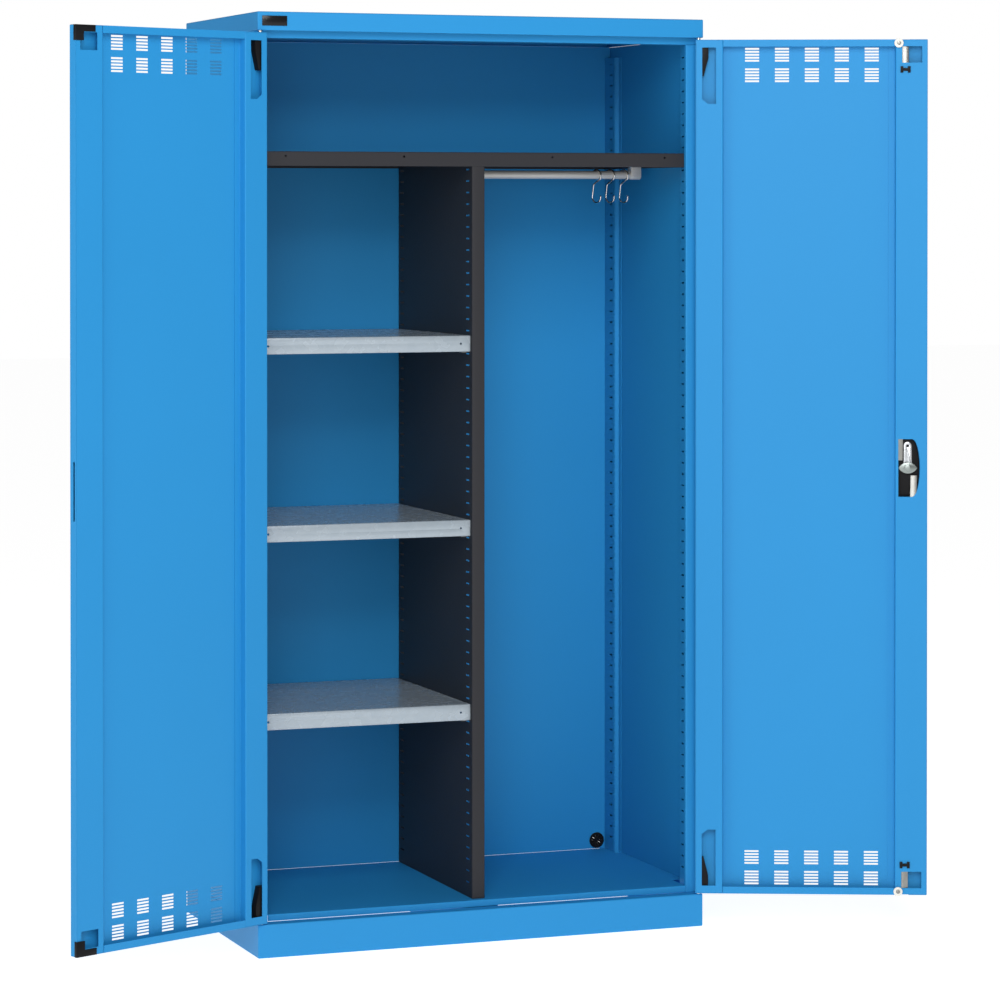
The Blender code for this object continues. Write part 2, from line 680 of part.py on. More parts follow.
def top_shelf(mat):
    end = WEB_X - SIDE_ROOM
    front = CARCASS_FRONT + TOP_SHELF_SETBACK
    low = (-end, front, TOP_SHELF_Z - TOP_SHELF_HEIGHT)
    high = (end, BACK_INNER - SIDE_ROOM, TOP_SHELF_Z)
    shelf = shelf_tray("top_shelf", low, high, SHEET, SHELF_LIP, mat)
    half = PARTITION_WIDTH / 2 + SIDE_ROOM
    cut_boxes(shelf, "partition", [((-half, front + SHEET, low[2] - CUT),
                                    (half, front + SHELF_LIP + CUT, low[2] + SHEET + CUT))])
    outer = WEB_X - TOP_HOLE_OUT
    z = TOP_SHELF_Z - TOP_HOLE_DROP
    holes = [(ring(SHELF_HOLE / 2, (x, z), HOLE_STEPS), "Y", front - CUT, front + SHEET + CUT)
             for x in (-outer, -TOP_HOLE_IN, TOP_HOLE_IN, outer)]
    cut_prisms(shelf, "holes", holes)


def shelf(key, mat):
    top = CLIP_Z[key] + SHELF_OVER_CLIP
    front = CARCASS_FRONT + SHELF_SETBACK
    left = -WEB_X + SIDE_ROOM
    right = -PARTITION_WIDTH / 2 - SIDE_ROOM
    low = (left, front, top - SHELF_HEIGHT)
    high = (right, BACK_INNER - SHELF_REAR_ROOM, top)
    piece = shelf_tray(f"{key}_shelf", low, high, SKIN, SHELF_LIP, mat)
    z = top - SHELF_HEIGHT / 2
    holes = [(ring(SHELF_HOLE / 2, (x, z), HOLE_STEPS), "Y", front - CUT, front + SKIN + CUT)
             for x in (left + SHELF_HOLE_IN, right - SHELF_HOLE_IN)]
    cut_prisms(piece, "holes", holes)


def partition(mat):
    """The upright wall between the shelves and the hanging space, flanged at its front and rear."""
    half = PARTITION_WIDTH / 2 - SHEET / 2
    front = PARTITION_FRONT + SHEET / 2
    rear = PARTITION_BACK - SHEET / 2
    path = [(half, front + PARTITION_RETURN), (half, front), (-half, front), (-half, rear), (half, rear),
            (half, rear - PARTITION_RETURN)]
    wall = prism("partition", folded(path), "Z", FLOOR_TOP + GAP, TOP_SHELF_Z - SHEET - GAP, mat)
    boxes = []
    for y in (CARCASS_FRONT + FRONT_SLOT_BEHIND, BACK_INNER - PARTITION_SLOT_AHEAD):
        boxes += slot_boxes(-half, y, CLIP_Z.values())
    cut_boxes(wall, "clip_slots", boxes)


def rail_span():
    """Where the rail's two sockets start and end."""
    return PARTITION_WIDTH / 2 + SIDE_ROOM, WEB_X - RAIL_END


def clothes_rail(mat):
    left, right = rail_span()
    radius = RAIL_DIAMETER / 2
    outline = ring(radius, (RAIL_Y, RAIL_Z), RAIL_STEPS)
    tube = prism("clothes_rail", outline, "X", left + BRACKET_WALL, right - BRACKET_WALL, mat, smooth=True)
    bore = ring(radius - HEAVY_SHEET, (RAIL_Y, RAIL_Z), RAIL_STEPS)
    cut_prisms(tube, "bore", [(bore, "X", left, right)])


def rail_bracket(side, mat):
    """A socket that hangs from the underside of the top shelf and holds one end of the rail."""
    left, right = rail_span()
    start, end = (left, left + BRACKET_LENGTH) if side < 0 else (right - BRACKET_LENGTH, right)
    name = "right_rail_bracket" if side > 0 else "left_rail_bracket"
    radius = RAIL_DIAMETER / 2 + BRACKET_WALL
    head = TOP_SHELF_Z - SHEET - GAP
    outline = [(RAIL_Y + radius, head), (RAIL_Y - radius, head)]
    outline += [tuple(p) for p in arc((RAIL_Y, RAIL_Z), radius, 180.0, 360.0, BRACKET_STEPS)]
    bracket = prism(name, outline, "X", start, end, mat)
    seat = ring(RAIL_DIAMETER / 2 + GAP, (RAIL_Y, RAIL_Z), RAIL_STEPS)
    wall = (start - CUT, end - BRACKET_WALL + GAP) if side > 0 else (start + BRACKET_WALL - GAP, end + CUT)
    cut_prisms(bracket, "seat", [(seat, "X", *wall)])


def rounded_corner(before, here, after, radius, steps=3):
    """Points round one corner of a line."""
    arrive = (here - before).normalized()
    leave = (after - here).normalized()
    reach = radius * math.tan(arrive.angle(leave) / 2)
    start = here - arrive * reach
    end = here + leave * reach
    points = []
    for k in range(steps + 1):
        t = k / steps
        points.append(start * (1 - t) ** 2 + here * 2 * t * (1 - t) + end * t * t)
    return points


def hook_points():
    """The middle line of a hook in its own plane, with the rail's axis at zero: (towards the front, up)."""
    loop_z = RAIL_DIAMETER / 2 + WIRE / 2 + 2 * GAP - HOOK_LOOP      # the loop rests on the top of the rail
    loop = arc((0.0, loop_z), HOOK_LOOP, HOOK_BACK, HOOK_FRONT, HOOK_LOOP_STEPS)
    cup = arc((0.0, HOOK_CUP_Z), HOOK_CUP, 180.0, HOOK_TIP, HOOK_CUP_STEPS)
    under = Vector((HOOK_LOOP - HOOK_NECK[0], HOOK_NECK[1] - HOOK_LOOP))
    shank = Vector((-HOOK_SHANK[0], -HOOK_LOOP - HOOK_SHANK[1]))
    neck = [loop[-1], under, shank, cup[0]]
    points = loop
    for before, here, after in zip(neck, neck[1:], neck[2:]):
        points += rounded_corner(before, here, after, HOOK_BEND)
    return points + cup


def hook(name, x, mat):
    """A wire S-hook on the rail, swinging about the rail's axis."""
    swing = pivot(f"{name}_swing", (x, RAIL_Y, RAIL_Z))
    curve = bpy.data.curves.new(name, "CURVE")
    curve.dimensions = "3D"
    curve.bevel_depth = WIRE / 2
    curve.bevel_resolution = 2
    curve.use_fill_caps = True
    spline = curve.splines.new("POLY")
    points = hook_points()
    turn = math.radians(HOOK_TURN)
    spline.points.add(len(points) - 1)
    for target, (forward, up) in zip(spline.points, points):
        target.co = (forward * math.sin(turn), -forward * math.cos(turn), up, 1.0)
    new_object(name, curve, mat, swing)


def cable_grommet(mat):
    """A round grommet with radial slits, its neck in the back panel's hole."""
    centre = (GROMMET_X, GROMMET_Z)
    rim_front = BACK_INNER - GAP - GROMMET_RIM
    rim = ring(GROMMET_DIAMETER / 2, centre, ROUND_STEPS_FINE)
    grommet = prism("cable_grommet", rim, "Y", rim_front, BACK_INNER - GAP, mat)
    neck_end = BACK_INNER + SHEET + GROMMET_RIM
    neck = ring(GROMMET_NECK / 2, centre, ROUND_STEPS_FINE)
    join_prisms(grommet, "neck", [(neck, "Y", BACK_INNER - GROMMET_RIM, neck_end)])
    slits = []
    inner, outer = GROMMET_SLIT
    half = GROMMET_SLIT_WIDTH / 2
    for k in range(GROMMET_SLITS):
        angle = 2 * math.pi * k / GROMMET_SLITS
        along = Vector((math.cos(angle), math.sin(angle)))
        across = Vector((-along.y, along.x)) * half
        corners = [along * inner - across, along * outer - across,
                   along * outer + across, along * inner + across]
        outline = [(centre[0] + c.x, centre[1] + c.y) for c in corners]
        slits.append((outline, "Y", rim_front - CUT, neck_end + CUT))
    cut_prisms(grommet, "slits", slits)


# ---------------------------------------------------------------- doors

class Door:
    """Places on one door, in the frame of its pivot; side is +1 for the right door and -1 for the left."""

    def __init__(self, side):
        self.side = side
        self.name = "right_door" if side > 0 else "left_door"
        angle = RIGHT_OPEN_ANGLE if side > 0 else -LEFT_OPEN_ANGLE
        self.pivot = pivot(f"{self.name}_pivot", (side * PIVOT_X, PIVOT_Y, 0.0), angle=angle)

    def x(self, u):
        """The place of a point u from the hinge edge."""
        return self.side * (PIVOT_IN - u)

    def free_x(self, f):
        """The place of a point f from the free edge."""
        return self.x(DOOR_WIDTH - f)

    @staticmethod
    def y(s):
        return s - PIVOT_BACK

    def span(self, u0, u1, s0, s1, z0, z1):
        """The corners of a box between two distances from the hinge edge."""
        x0, x1 = sorted((self.x(u0), self.x(u1)))
        return (x0, self.y(s0), z0), (x1, self.y(s1), z1)

    def free_span(self, f0, f1, s0, s1, z0, z1):
        """The corners of a box between two distances from the free edge."""
        return self.span(DOOR_WIDTH - f1, DOOR_WIDTH - f0, s0, s1, z0, z1)

    def plan(self, path):
        """A path of (u, s) as (x, y)."""
        return [(self.x(u), self.y(s)) for u, s in path]

    def free_face(self, outline):
        """An outline of (f, z) as (x, z)."""
        return [(self.free_x(f), z) for f, z in outline]


ENDS = {"upper": (DOOR_HEAD, -1), "lower": (DOOR_FOOT, 1)}


def vent_boxes(door):
    """The slots of all the vent blocks."""
    boxes = []
    half = VENT_HEIGHT / 2
    for edge, inward in ENDS.values():
        for column in range(VENT_COLUMNS):
            u = VENT_FIRST + column * VENT_COLUMN_PITCH
            for block in range(VENT_BLOCKS):
                for row in range(VENT_ROWS):
                    z = edge + inward * (VENT_FROM_END + block * VENT_BLOCK_PITCH + row * VENT_PITCH)
                    boxes.append(door.span(u, u + VENT_LENGTH, -CUT, SKIN + CUT, z - half, z + half))
    return boxes


def door_pan(door, mat):
    """The outer sheet, folded in on all four edges, with lips at head and foot between the stiffeners."""
    thick = DOOR_THICKNESS
    low, high = door.span(0, DOOR_WIDTH, 0, thick, DOOR_FOOT, DOOR_HEAD)
    pan = tray(f"{door.name}_pan", low, high, SKIN, mat, door.pivot, open_back=True)
    wall_u = (SKIN, DOOR_WIDTH - SKIN)
    wall_z = (DOOR_FOOT + SKIN, DOOR_HEAD - SKIN)
    cut_boxes(pan, "mouth", [door.span(*wall_u, thick - 2 * SKIN, thick + CUT, DOOR_FOOT + DOOR_LIP,
                                       DOOR_HEAD - DOOR_LIP)])
    cut_boxes(pan, "stiffener_room", [
        door.span(SKIN, HINGE_FACE + GAP, thick - 2 * SKIN, thick + CUT, *wall_z),
        door.free_span(SKIN, EDGE_FACE + GAP, thick - 2 * SKIN, thick + CUT, *wall_z)])
    bores = [(ring(PIN_HOLE), "Z", edge - CUT, edge + CUT) for edge, _ in ENDS.values()]
    cut_prisms(pan, "pin_holes", bores)
    slot = (SPINDLE_Z - EDGE_SLOT_HEIGHT / 2, SPINDLE_Z + EDGE_SLOT_HEIGHT / 2)
    cut_boxes(pan, "edge_slot", [door.free_span(-CUT, SKIN + CUT, *EDGE_SLOT, *slot)])
    cut_boxes(pan, "vents", vent_boxes(door))
    return pan


def hinge_stiffener(door, mat):
    """A folded channel down the hinge edge, with a window beside each pivot block."""
    face = DOOR_THICKNESS - SHEET / 2
    wall = HINGE_FACE - SHEET / 2
    seat = SKIN + GAP + SHEET / 2
    path = [(SKIN + GAP, face), (wall, face), (wall, seat), (wall + STIFFENER_LIP, seat)]
    z0 = DOOR_FOOT + SKIN + GAP
    z1 = DOOR_HEAD - SKIN - GAP
    channel = prism(f"{door.name}_hinge_stiffener", folded(door.plan(path)), "Z", z0, z1, mat, door.pivot)
    near, far = HINGE_WINDOW
    first, last = HINGE_WINDOW_ENDS
    windows = []
    for edge, inward in ENDS.values():
        outline = [(near, first), (far, first), (far, last), (near + WINDOW_CHAMFER[0], last),
                   (near, last - WINDOW_CHAMFER[1])]
        outline = [(door.x(u), edge + inward * z) for u, z in outline]
        windows.append((outline, "Y", door.y(DOOR_THICKNESS - SHEET - CUT), door.y(DOOR_THICKNESS + CUT)))
    cut_prisms(channel, "windows", windows)


def edge_stiffener(door, name, mat):
    """A folded channel down the free edge, with a square window near each end."""
    face = DOOR_THICKNESS - SHEET / 2
    wall = EDGE_FACE - SHEET / 2
    seat = SKIN + GAP + SHEET / 2
    path = [(SKIN + GAP, face), (wall, face), (wall, seat), (wall + STIFFENER_LIP, seat)]
    path = [(DOOR_WIDTH - f, s) for f, s in path]
    z0 = DOOR_FOOT + SKIN + GAP
    z1 = DOOR_HEAD - SKIN - GAP
    channel = prism(name, folded(door.plan(path)), "Z", z0, z1, mat, door.pivot)
    depths = (DOOR_THICKNESS - SHEET - CUT, DOOR_THICKNESS + CUT)
    windows = []
    for edge, inward in ENDS.values():
        z = sorted(edge + inward * d for d in CORNER_WINDOW_ENDS)
        windows.append(door.free_span(*CORNER_WINDOW, *depths, *z))
    cut_boxes(channel, "windows", windows)
    return channel


def pivot_block(door, end, mat):
    """The block in the hinge channel that turns on a hinge pin."""
    edge, inward = ENDS[end]
    near = SKIN + GAP
    taper_u, taper_z = BLOCK_TAPER
    outline = [(near, near), (BLOCK_WIDTH, near), (BLOCK_WIDTH, taper_z), (taper_u, BLOCK_HEIGHT),
               (near, BLOCK_HEIGHT)]
    outline = [(door.x(u), edge + inward * z) for u, z in outline]
    name = f"{door.name}_{end}_pivot_block"
    block = prism(name, outline, "Y", door.y(near), door.y(BLOCK_BACK), mat, door.pivot)
    bore = sorted((edge - inward * CUT, edge + inward * (PIN_IN_DOOR + PIN_ROOM + CUT)))
    cut_prisms(block, "bore", [(ring(PIN_HOLE), "Z", *bore)])


def hinge_pins(side, mat):
    """The fixed pins that one door turns on, in the cover's lip and in the plinth."""
    name = "right" if side > 0 else "left"
    centre = (side * PIVOT_X, PIVOT_Y)
    shaft = ring(PIN_DIAMETER / 2, centre)
    collar = ring(COLLAR_DIAMETER / 2, centre)
    seat = COVER_Z + SHEET + GAP
    top = seat + COLLAR_HEIGHT
    upper = prism(f"{name}_upper_hinge_pin", shaft, "Z", DOOR_HEAD - PIN_IN_DOOR, top, mat, smooth=True)
    join_prisms(upper, "collar", [(collar, "Z", seat, top)])
    foot = PLINTH_HEIGHT - PIN_IN_FRAME
    lower = prism(f"{name}_lower_hinge_pin", shaft, "Z", foot, DOOR_FOOT + PIN_IN_DOOR, mat, smooth=True)
    join_prisms(lower, "collar", [(collar, "Z", PLINTH_HEIGHT + GAP, DOOR_FOOT - GAP)])


def corner_guard(door, end, mat):
    """An L-shaped guard round a free corner of the left door."""
    edge, inward = ENDS[end]
    arm_length, arm_height = GUARD_ARM
    leg_width, leg_height = GUARD_LEG
    outer = -GUARD_SIDE - GAP
    outline = [(outer, 0.0), (arm_length, 0.0), (arm_length, arm_height), (leg_width, arm_height),
               (leg_width, leg_height), (outer, leg_height)]
    outline = [(door.free_x(f), edge + inward * z) for f, z in outline]
    face = DOOR_THICKNESS + GAP
    name = f"{door.name}_{end}_corner_guard"
    guard = prism(name, outline, "Y", door.y(face), door.y(face + GUARD_THICKNESS), mat, door.pivot)
    x0, x1 = sorted((door.free_x(-GAP), door.free_x(outer)))
    z0, z1 = sorted((edge, edge + inward * leg_height))
    side = [(x0, z0), (x1, z0), (x1, z1), (x0, z1)]
    join_prisms(guard, "wrap", [(side, "Y", door.y(face - GUARD_WRAP), door.y(face + GUARD_THICKNESS / 2))])


# ---------------------------------------------------------------- lock

def lock_opening(room=0.0):
    """The outline of the lock opening: straight towards the hinge and bowed towards the free edge."""
    near, far = LOCK_OPENING
    half = LOCK_OPENING_HEIGHT / 2 - room
    straight = near + LOCK_BOW
    points = [(far - room, SPINDLE_Z + half), (far - room, SPINDLE_Z - half)]
    for k in range(LOCK_BOW_STEPS + 1):
        angle = math.pi * (k / LOCK_BOW_STEPS - 0.5)
        points.append((straight - (LOCK_BOW - room) * math.cos(angle), SPINDLE_Z + half * math.sin(angle)))
    return points


def lock_stiffener(door, mat):
    """The free-edge channel of the right door, open over the lock, the roller pins and the rod guides."""
    channel = edge_stiffener(door, f"{door.name}_lock_stiffener", mat)
    y0 = door.y(DOOR_THICKNESS - SHEET - CUT)
    y1 = door.y(DOOR_THICKNESS + CUT)
    cut_prisms(channel, "lock", [(door.free_face(lock_opening()), "Y", y0, y1)])
    pin = ROLLER_PIN / 2 + ROD_CLEARANCE
    half_width = GUIDE_PRONG[0] / 2 + GAP
    half_height = GUIDE_PRONG[1] / 2 + GAP
    depths = (DOOR_THICKNESS - SHEET - CUT, DOOR_THICKNESS + CUT)
    boxes = []
    for edge, inward in ENDS.values():
        z = sorted((edge - inward * CUT, edge + inward * (ROLLER_FROM_END + pin)))
        boxes.append(door.free_span(ROLLER_FROM_EDGE - pin, ROLLER_FROM_EDGE + pin, *depths, *z))
        guide_z = edge + inward * GUIDE_FROM_END
        for f in guide_prongs():
            boxes.append(door.free_span(f - half_width, f + half_width, *depths,
                                        guide_z - half_height, guide_z + half_height))
    cut_boxes(channel, "pins_and_guides", boxes)


def guide_prongs():
    """Where a guide's two prongs stand, either side of the rod."""
    offset = ROD_WIDTH / 2 + GUIDE_PRONG_ROOM + GUIDE_PRONG[0] / 2
    return ROD_AT_GUIDE - offset, ROD_AT_GUIDE + offset


def rod_guide(door, end, mat):
    """An H-shaped guide on the stiffener, with a prong either side of the rod."""
    edge, inward = ENDS[end]
    z = edge + inward * GUIDE_FROM_END
    half_w = guide_prongs()[1] - ROD_AT_GUIDE + GUIDE_PRONG[0] / 2 + GUIDE_MARGIN
    half_h = GUIDE_HEIGHT / 2
    leg = half_w - ROD_WIDTH / 2 + GUIDE_PRONG[0]
    waist = GUIDE_WAIST / 2
    inner = half_w - leg
    quarter = [(half_w, half_h), (inner, half_h), (inner, waist)]
    outline = quarter + [(-f, dz) for f, dz in quarter[::-1]]
    outline += [(-f, -dz) for f, dz in outline]
    outline = [(door.free_x(ROD_AT_GUIDE + f), z + dz) for f, dz in outline]
    face = DOOR_THICKNESS + GAP
    back = face + GUIDE_THICKNESS
    guide = prism(f"{end}_rod_guide", outline, "Y", door.y(face), door.y(back), mat, door.pivot)
    prong, prong_height = GUIDE_PRONG
    prongs = []
    for f in guide_prongs():
        x0, x1 = sorted((door.free_x(f - prong / 2), door.free_x(f + prong / 2)))
        z0 = z - prong_height / 2
        z1 = z + prong_height / 2
        corners = [(x0, z0), (x1, z0), (x1, z1), (x0, z1)]
        prongs.append((corners, "Y", door.y(ROD_LAYER[0]), door.y(face + GAP)))
    join_prisms(guide, "prongs", prongs)


def spindle_bore(door):
    return ring(SPINDLE_HOLE, (door.free_x(SPINDLE_FROM_EDGE), SPINDLE_Z))


def lock_case(door, mat):
    """The box of the lock, behind the outer sheet."""
    outline = door.free_face(lock_opening(LOCK_CASE_ROOM))
    case = prism("lock_case", outline, "Y", door.y(SKIN + GAP), door.y(LOCK_CASE_BACK), mat, door.pivot)
    cut_prisms(case, "bore", [(spindle_bore(door), "Y", door.y(0.0), door.y(LOCK_CASE_BACK + CUT))])


def cut_lock_holes(door, pan):
    """The spindle's hole in the outer sheet, and the notches that the rods and roller pins move in."""
    cut_prisms(pan, "spindle", [(spindle_bore(door), "Y", door.y(-CUT), door.y(SKIN + CUT))])
    near = ROD_AT_GUIDE - ROD_WIDTH / 2 - ROD_CLEARANCE
    far = ROLLER_FROM_EDGE + ROD_TAB + ROD_CLEARANCE
    depths = (ROD_LAYER[0] - ROD_CLEARANCE, DOOR_THICKNESS + CUT)
    boxes = [door.free_span(near, far, *depths, edge - CUT, edge + CUT) for edge, _ in ENDS.values()]
    cut_boxes(pan, "rod_notches", boxes)


def escutcheon(door, mat):
    """The plate behind the handle, on the outer sheet."""
    width, height, thickness = ESCUTCHEON
    centre_x = door.free_x(SPINDLE_FROM_EDGE)
    outline = [(centre_x + x, SPINDLE_Z + z) for x, z in rounded(width, height, ESCUTCHEON_CORNER)]
    plate = prism("lock_escutcheon", outline, "Y", door.y(-GAP - thickness), door.y(-GAP), mat, door.pivot)
    cut_prisms(plate, "bore", [(spindle_bore(door), "Y", door.y(-GAP - thickness - CUT), door.y(CUT))])


def lock_axis(door):
    return pivot("lock_axis", (door.free_x(SPINDLE_FROM_EDGE), door.y(0.0), SPINDLE_Z), door.pivot)


def handle_seat():
    """The depth at which the handle's hub starts, outside the escutcheon."""
    return -GAP - ESCUTCHEON[2] - GAP


def t_handle(axis, mat):
    """The hub and cross grip, with a bore for the key plug; at rest the grip lies level."""
    seat = handle_seat()
    length, width, thickness = GRIP
    outline = ring(HUB_DIAMETER / 2, steps=ROUND_STEPS_FINE)
    hub = prism("t_handle", outline, "Y", seat - HUB_HEIGHT, seat, mat, axis)
    grip = rounded(length, width, width / 2 - GAP)
    face = seat - HUB_HEIGHT - thickness + CUT
    join_prisms(hub, "grip", [(grip, "Y", face, seat - HUB_HEIGHT + CUT)])
    plug = ring(PLUG_DIAMETER / 2 + GAP)
    cut_prisms(hub, "plug_bore", [(plug, "Y", face - CUT, face + PLUG_DEPTH + GAP)])


def key_plug(axis, mat):
    """The lock's cylinder, with its keyway, in the middle of the handle."""
    face = handle_seat() - HUB_HEIGHT - GRIP[2] + CUT
    turn = pivot("key_axis", (0.0, face, 0.0), axis)
    plug = prism("key_plug", ring(PLUG_DIAMETER / 2), "Y", -GAP, PLUG_DEPTH, mat, turn)
    keyway, height, depth = KEYWAY
    cut_boxes(plug, "keyway", [((-keyway / 2, -CUT, -height / 2), (keyway / 2, depth, height / 2))])


def lock_spindle(axis, mat):
    end = CAM_LAYER[0] - GAP
    prism("lock_spindle", ring(SPINDLE_DIAMETER / 2), "Y", handle_seat() + GAP, end, mat, axis, smooth=True)


def latch_lever(axis, mat):
    """The lever that stands up at rest and swings out through the free edge to lock."""
    half = LEVER_WIDTH / 2
    tip = (0.0, LEVER_LENGTH - half)
    outline = arc((0.0, 0.0), half, 180.0, 360.0, LEVER_STEPS) + arc(tip, half, 0.0, 180.0, LEVER_STEPS)
    lever = prism("latch_lever", outline, "Y", *LEVER_LAYER, mat, axis)
    y0 = LEVER_LAYER[0] - CUT
    y1 = LEVER_LAYER[1] + CUT
    cut_prisms(lever, "eyes", [(ring(SPINDLE_HOLE), "Y", y0, y1),
                               (ring(LEVER_EYE / 2, tip, HOLE_STEPS), "Y", y0, y1)])


def cam_plate(axis, mat):
    """The lens-shaped plate whose two ends work the rods, with the boss that holds it on the spindle."""
    half = CAM_LENGTH / 2
    rise = CAM_WIDTH / 2
    radius = (half * half + rise * rise) / (2 * rise)
    sweep = math.asin(half / radius)
    upper = []
    for k in range(CAM_STEPS):
        angle = sweep * (1 - 2 * k / CAM_STEPS)
        upper.append((radius * math.sin(angle), radius * math.cos(angle) - radius + rise))
    outline = upper + [(-x, -z) for x, z in upper]
    cam = prism("rod_cam", outline, "Y", *CAM_LAYER, mat, axis)
    boss = (ring(BOSS_DIAMETER / 2), "Y", CAM_LAYER[1] - SHEET, CAM_LAYER[1] + BOSS_HEIGHT)
    join_prisms(cam, "boss", [boss])


def locking_rod(door, end, mat):
    """A flat rod from the lock past its guide to the tab that carries the roller pin."""
    edge, inward = ENDS[end]
    upper = end == "upper"
    at_lock = UPPER_ROD_AT_LOCK if upper else LOWER_ROD_AT_LOCK
    lock_z = SPINDLE_Z - inward * ROD_FROM_SPINDLE
    guide_z = edge + inward * GUIDE_FROM_END
    roller_z = edge + inward * ROLLER_FROM_END
    out = roller_z - inward * ROD_TAB
    under = roller_z + inward * ROD_TAB
    half = ROD_WIDTH / 2
    tab = ROLLER_FROM_EDGE + ROD_TAB
    near = ROD_AT_GUIDE - half
    far = ROD_AT_GUIDE + half
    outline = [(at_lock - half, lock_z), (near, guide_z), (near, out), (tab, out),
               (tab, under), (far, under), (far, guide_z), (at_lock + half, lock_z)]
    start, stop = (door.y(s) for s in ROD_LAYER)
    rod = prism(f"{end}_locking_rod", door.free_face(outline), "Y", start, stop, mat, door.pivot)
    centre = (door.free_x(ROLLER_FROM_EDGE), roller_z)
    head = [door.y(s) for s in PIN_HEAD_LAYER]
    join_prisms(rod, "pin", [(ring(ROLLER_PIN / 2, centre), "Y", start + GAP, head[0] + GAP)])
    join_prisms(rod, "head", [(ring(PIN_HEAD / 2, centre), "Y", *head)])


def roller(door, end, mat):
    """A nylon roller on a rod's pin."""
    edge, inward = ENDS[end]
    centre = (door.free_x(ROLLER_FROM_EDGE), 0.0, edge + inward * ROLLER_FROM_END)
    axis = pivot(f"{end}_roller_axis", centre, door.pivot)
    start, stop = (door.y(s) for s in ROLLER_LAYER)
    outline = ring(ROLLER_DIAMETER / 2, steps=ROUND_STEPS_FINE)
    wheel = prism(f"{end}_roller", outline, "Y", start, stop, mat, axis, smooth=True)
    bore = ring(ROLLER_PIN / 2 + ROLLER_BORE_ROOM)
    cut_prisms(wheel, "bore", [(bore, "Y", start - CUT, stop + CUT)])


# ---------------------------------------------------------------- assembly

def build_carcass(blue):
    top_cover(blue)
    for side in (-1, 1):
        side_panel(side, blue)
        front_upright(side, blue)
        rear_upright(side, blue)
    back_panel(blue)
    lintel(blue)
    floor_tray(blue)
    plinth(blue)
    cross_member(blue)


def build_interior(anthracite, zinc, rail, steel, black):
    top_shelf(anthracite)
    partition(anthracite)
    for key in SHELF_ROWS:
        shelf(key, zinc)
    clothes_rail(rail)
    for side in (-1, 1):
        rail_bracket(side, rail)
    for key, distance in HOOKS_IN.items():
        hook(f"{key}_hook", WIDTH / 2 - distance, steel)
    cable_grommet(black)
    label_plate(black)


def build_left_door(blue, black, steel):
    door = Door(-1)
    door_pan(door, blue)
    hinge_stiffener(door, blue)
    edge_stiffener(door, f"{door.name}_edge_stiffener", blue)
    hinge_pins(-1, steel)
    for end in ENDS:
        pivot_block(door, end, black)
        corner_guard(door, end, black)


def build_right_door(blue, black, steel, zinc, nylon):
    door = Door(1)
    pan = door_pan(door, blue)
    cut_lock_holes(door, pan)
    hinge_stiffener(door, blue)
    lock_stiffener(door, blue)
    hinge_pins(1, steel)
    lock_case(door, black)
    escutcheon(door, black)
    axis = lock_axis(door)
    t_handle(axis, black)
    key_plug(axis, steel)
    lock_spindle(axis, steel)
    latch_lever(axis, zinc)
    cam_plate(axis, zinc)
    for end in ENDS:
        pivot_block(door, end, black)
        rod_guide(door, end, black)
        locking_rod(door, end, zinc)
        roller(door, end, nylon)


def main():
    clear_scene()
    blue = blue_paint()
    anthracite = anthracite_paint()
    zinc = galvanised_steel()
    black = black_plastic()
    nylon = white_nylon()
    rail = rail_grey()
    steel = bright_steel()
    build_carcass(blue)
    build_interior(anthracite, zinc, rail, steel, black)
    build_left_door(blue, black, steel)
    build_right_door(blue, black, steel, zinc, nylon)


main()
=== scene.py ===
"""The looks of a two-door steel locker cabinet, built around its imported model.

Metres, +Z up. A closed door lies in the plane of the front; the doors stand open at rest.
"""
import json
import math

import bmesh
import bpy
from bpy.props import FloatProperty, FloatVectorProperty, PointerProperty
from mathutils import Matrix, Vector


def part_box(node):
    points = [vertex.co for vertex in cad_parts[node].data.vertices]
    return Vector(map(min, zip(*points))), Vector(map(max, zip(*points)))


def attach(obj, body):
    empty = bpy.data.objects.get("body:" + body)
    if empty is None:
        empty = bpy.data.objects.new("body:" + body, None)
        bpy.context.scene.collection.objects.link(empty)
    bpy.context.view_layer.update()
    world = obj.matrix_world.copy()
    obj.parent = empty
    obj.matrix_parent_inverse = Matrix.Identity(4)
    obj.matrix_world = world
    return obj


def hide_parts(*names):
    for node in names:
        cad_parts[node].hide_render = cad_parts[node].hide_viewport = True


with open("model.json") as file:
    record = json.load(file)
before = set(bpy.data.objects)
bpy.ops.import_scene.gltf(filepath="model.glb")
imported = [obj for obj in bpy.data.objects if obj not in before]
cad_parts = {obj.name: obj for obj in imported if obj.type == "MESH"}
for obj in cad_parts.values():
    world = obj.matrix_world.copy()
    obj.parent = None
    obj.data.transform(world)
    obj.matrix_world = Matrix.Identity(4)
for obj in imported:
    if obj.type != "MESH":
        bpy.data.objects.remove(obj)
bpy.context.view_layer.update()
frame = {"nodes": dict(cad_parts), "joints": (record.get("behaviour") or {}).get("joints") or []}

bl_info = {
    "name": "Locker Cabinet Finish",
    "version": (1, 0, 0),
    "blender": (4, 5, 0),
    "location": "View3D > Sidebar > Locker",
    "description": "Finishes and detailed pieces for a two-door steel locker cabinet",
    "category": "Object",
}

GAP = 0.0003           # clearance that a hook keeps from the rail, on each side
DEEP = 0.004           # how far a cutter reaches past the face it opens
SHARP_BEND = 30        # degrees between two faces from which their edge stays sharp
ROUNDED_FROM = 40      # degrees from which the edge of a solid piece is rounded
WELD = 0.000001        # vertices closer than this are one
FLAT = 0.1             # degrees between two faces that count as one plane
FLOOR_REACH = 30.0
FLOOR_DROP = 0.0005    # the floor lies this far below the cabinet's feet
SENSOR_WIDTH = 36.0
CAMERA_REACH = 100.0

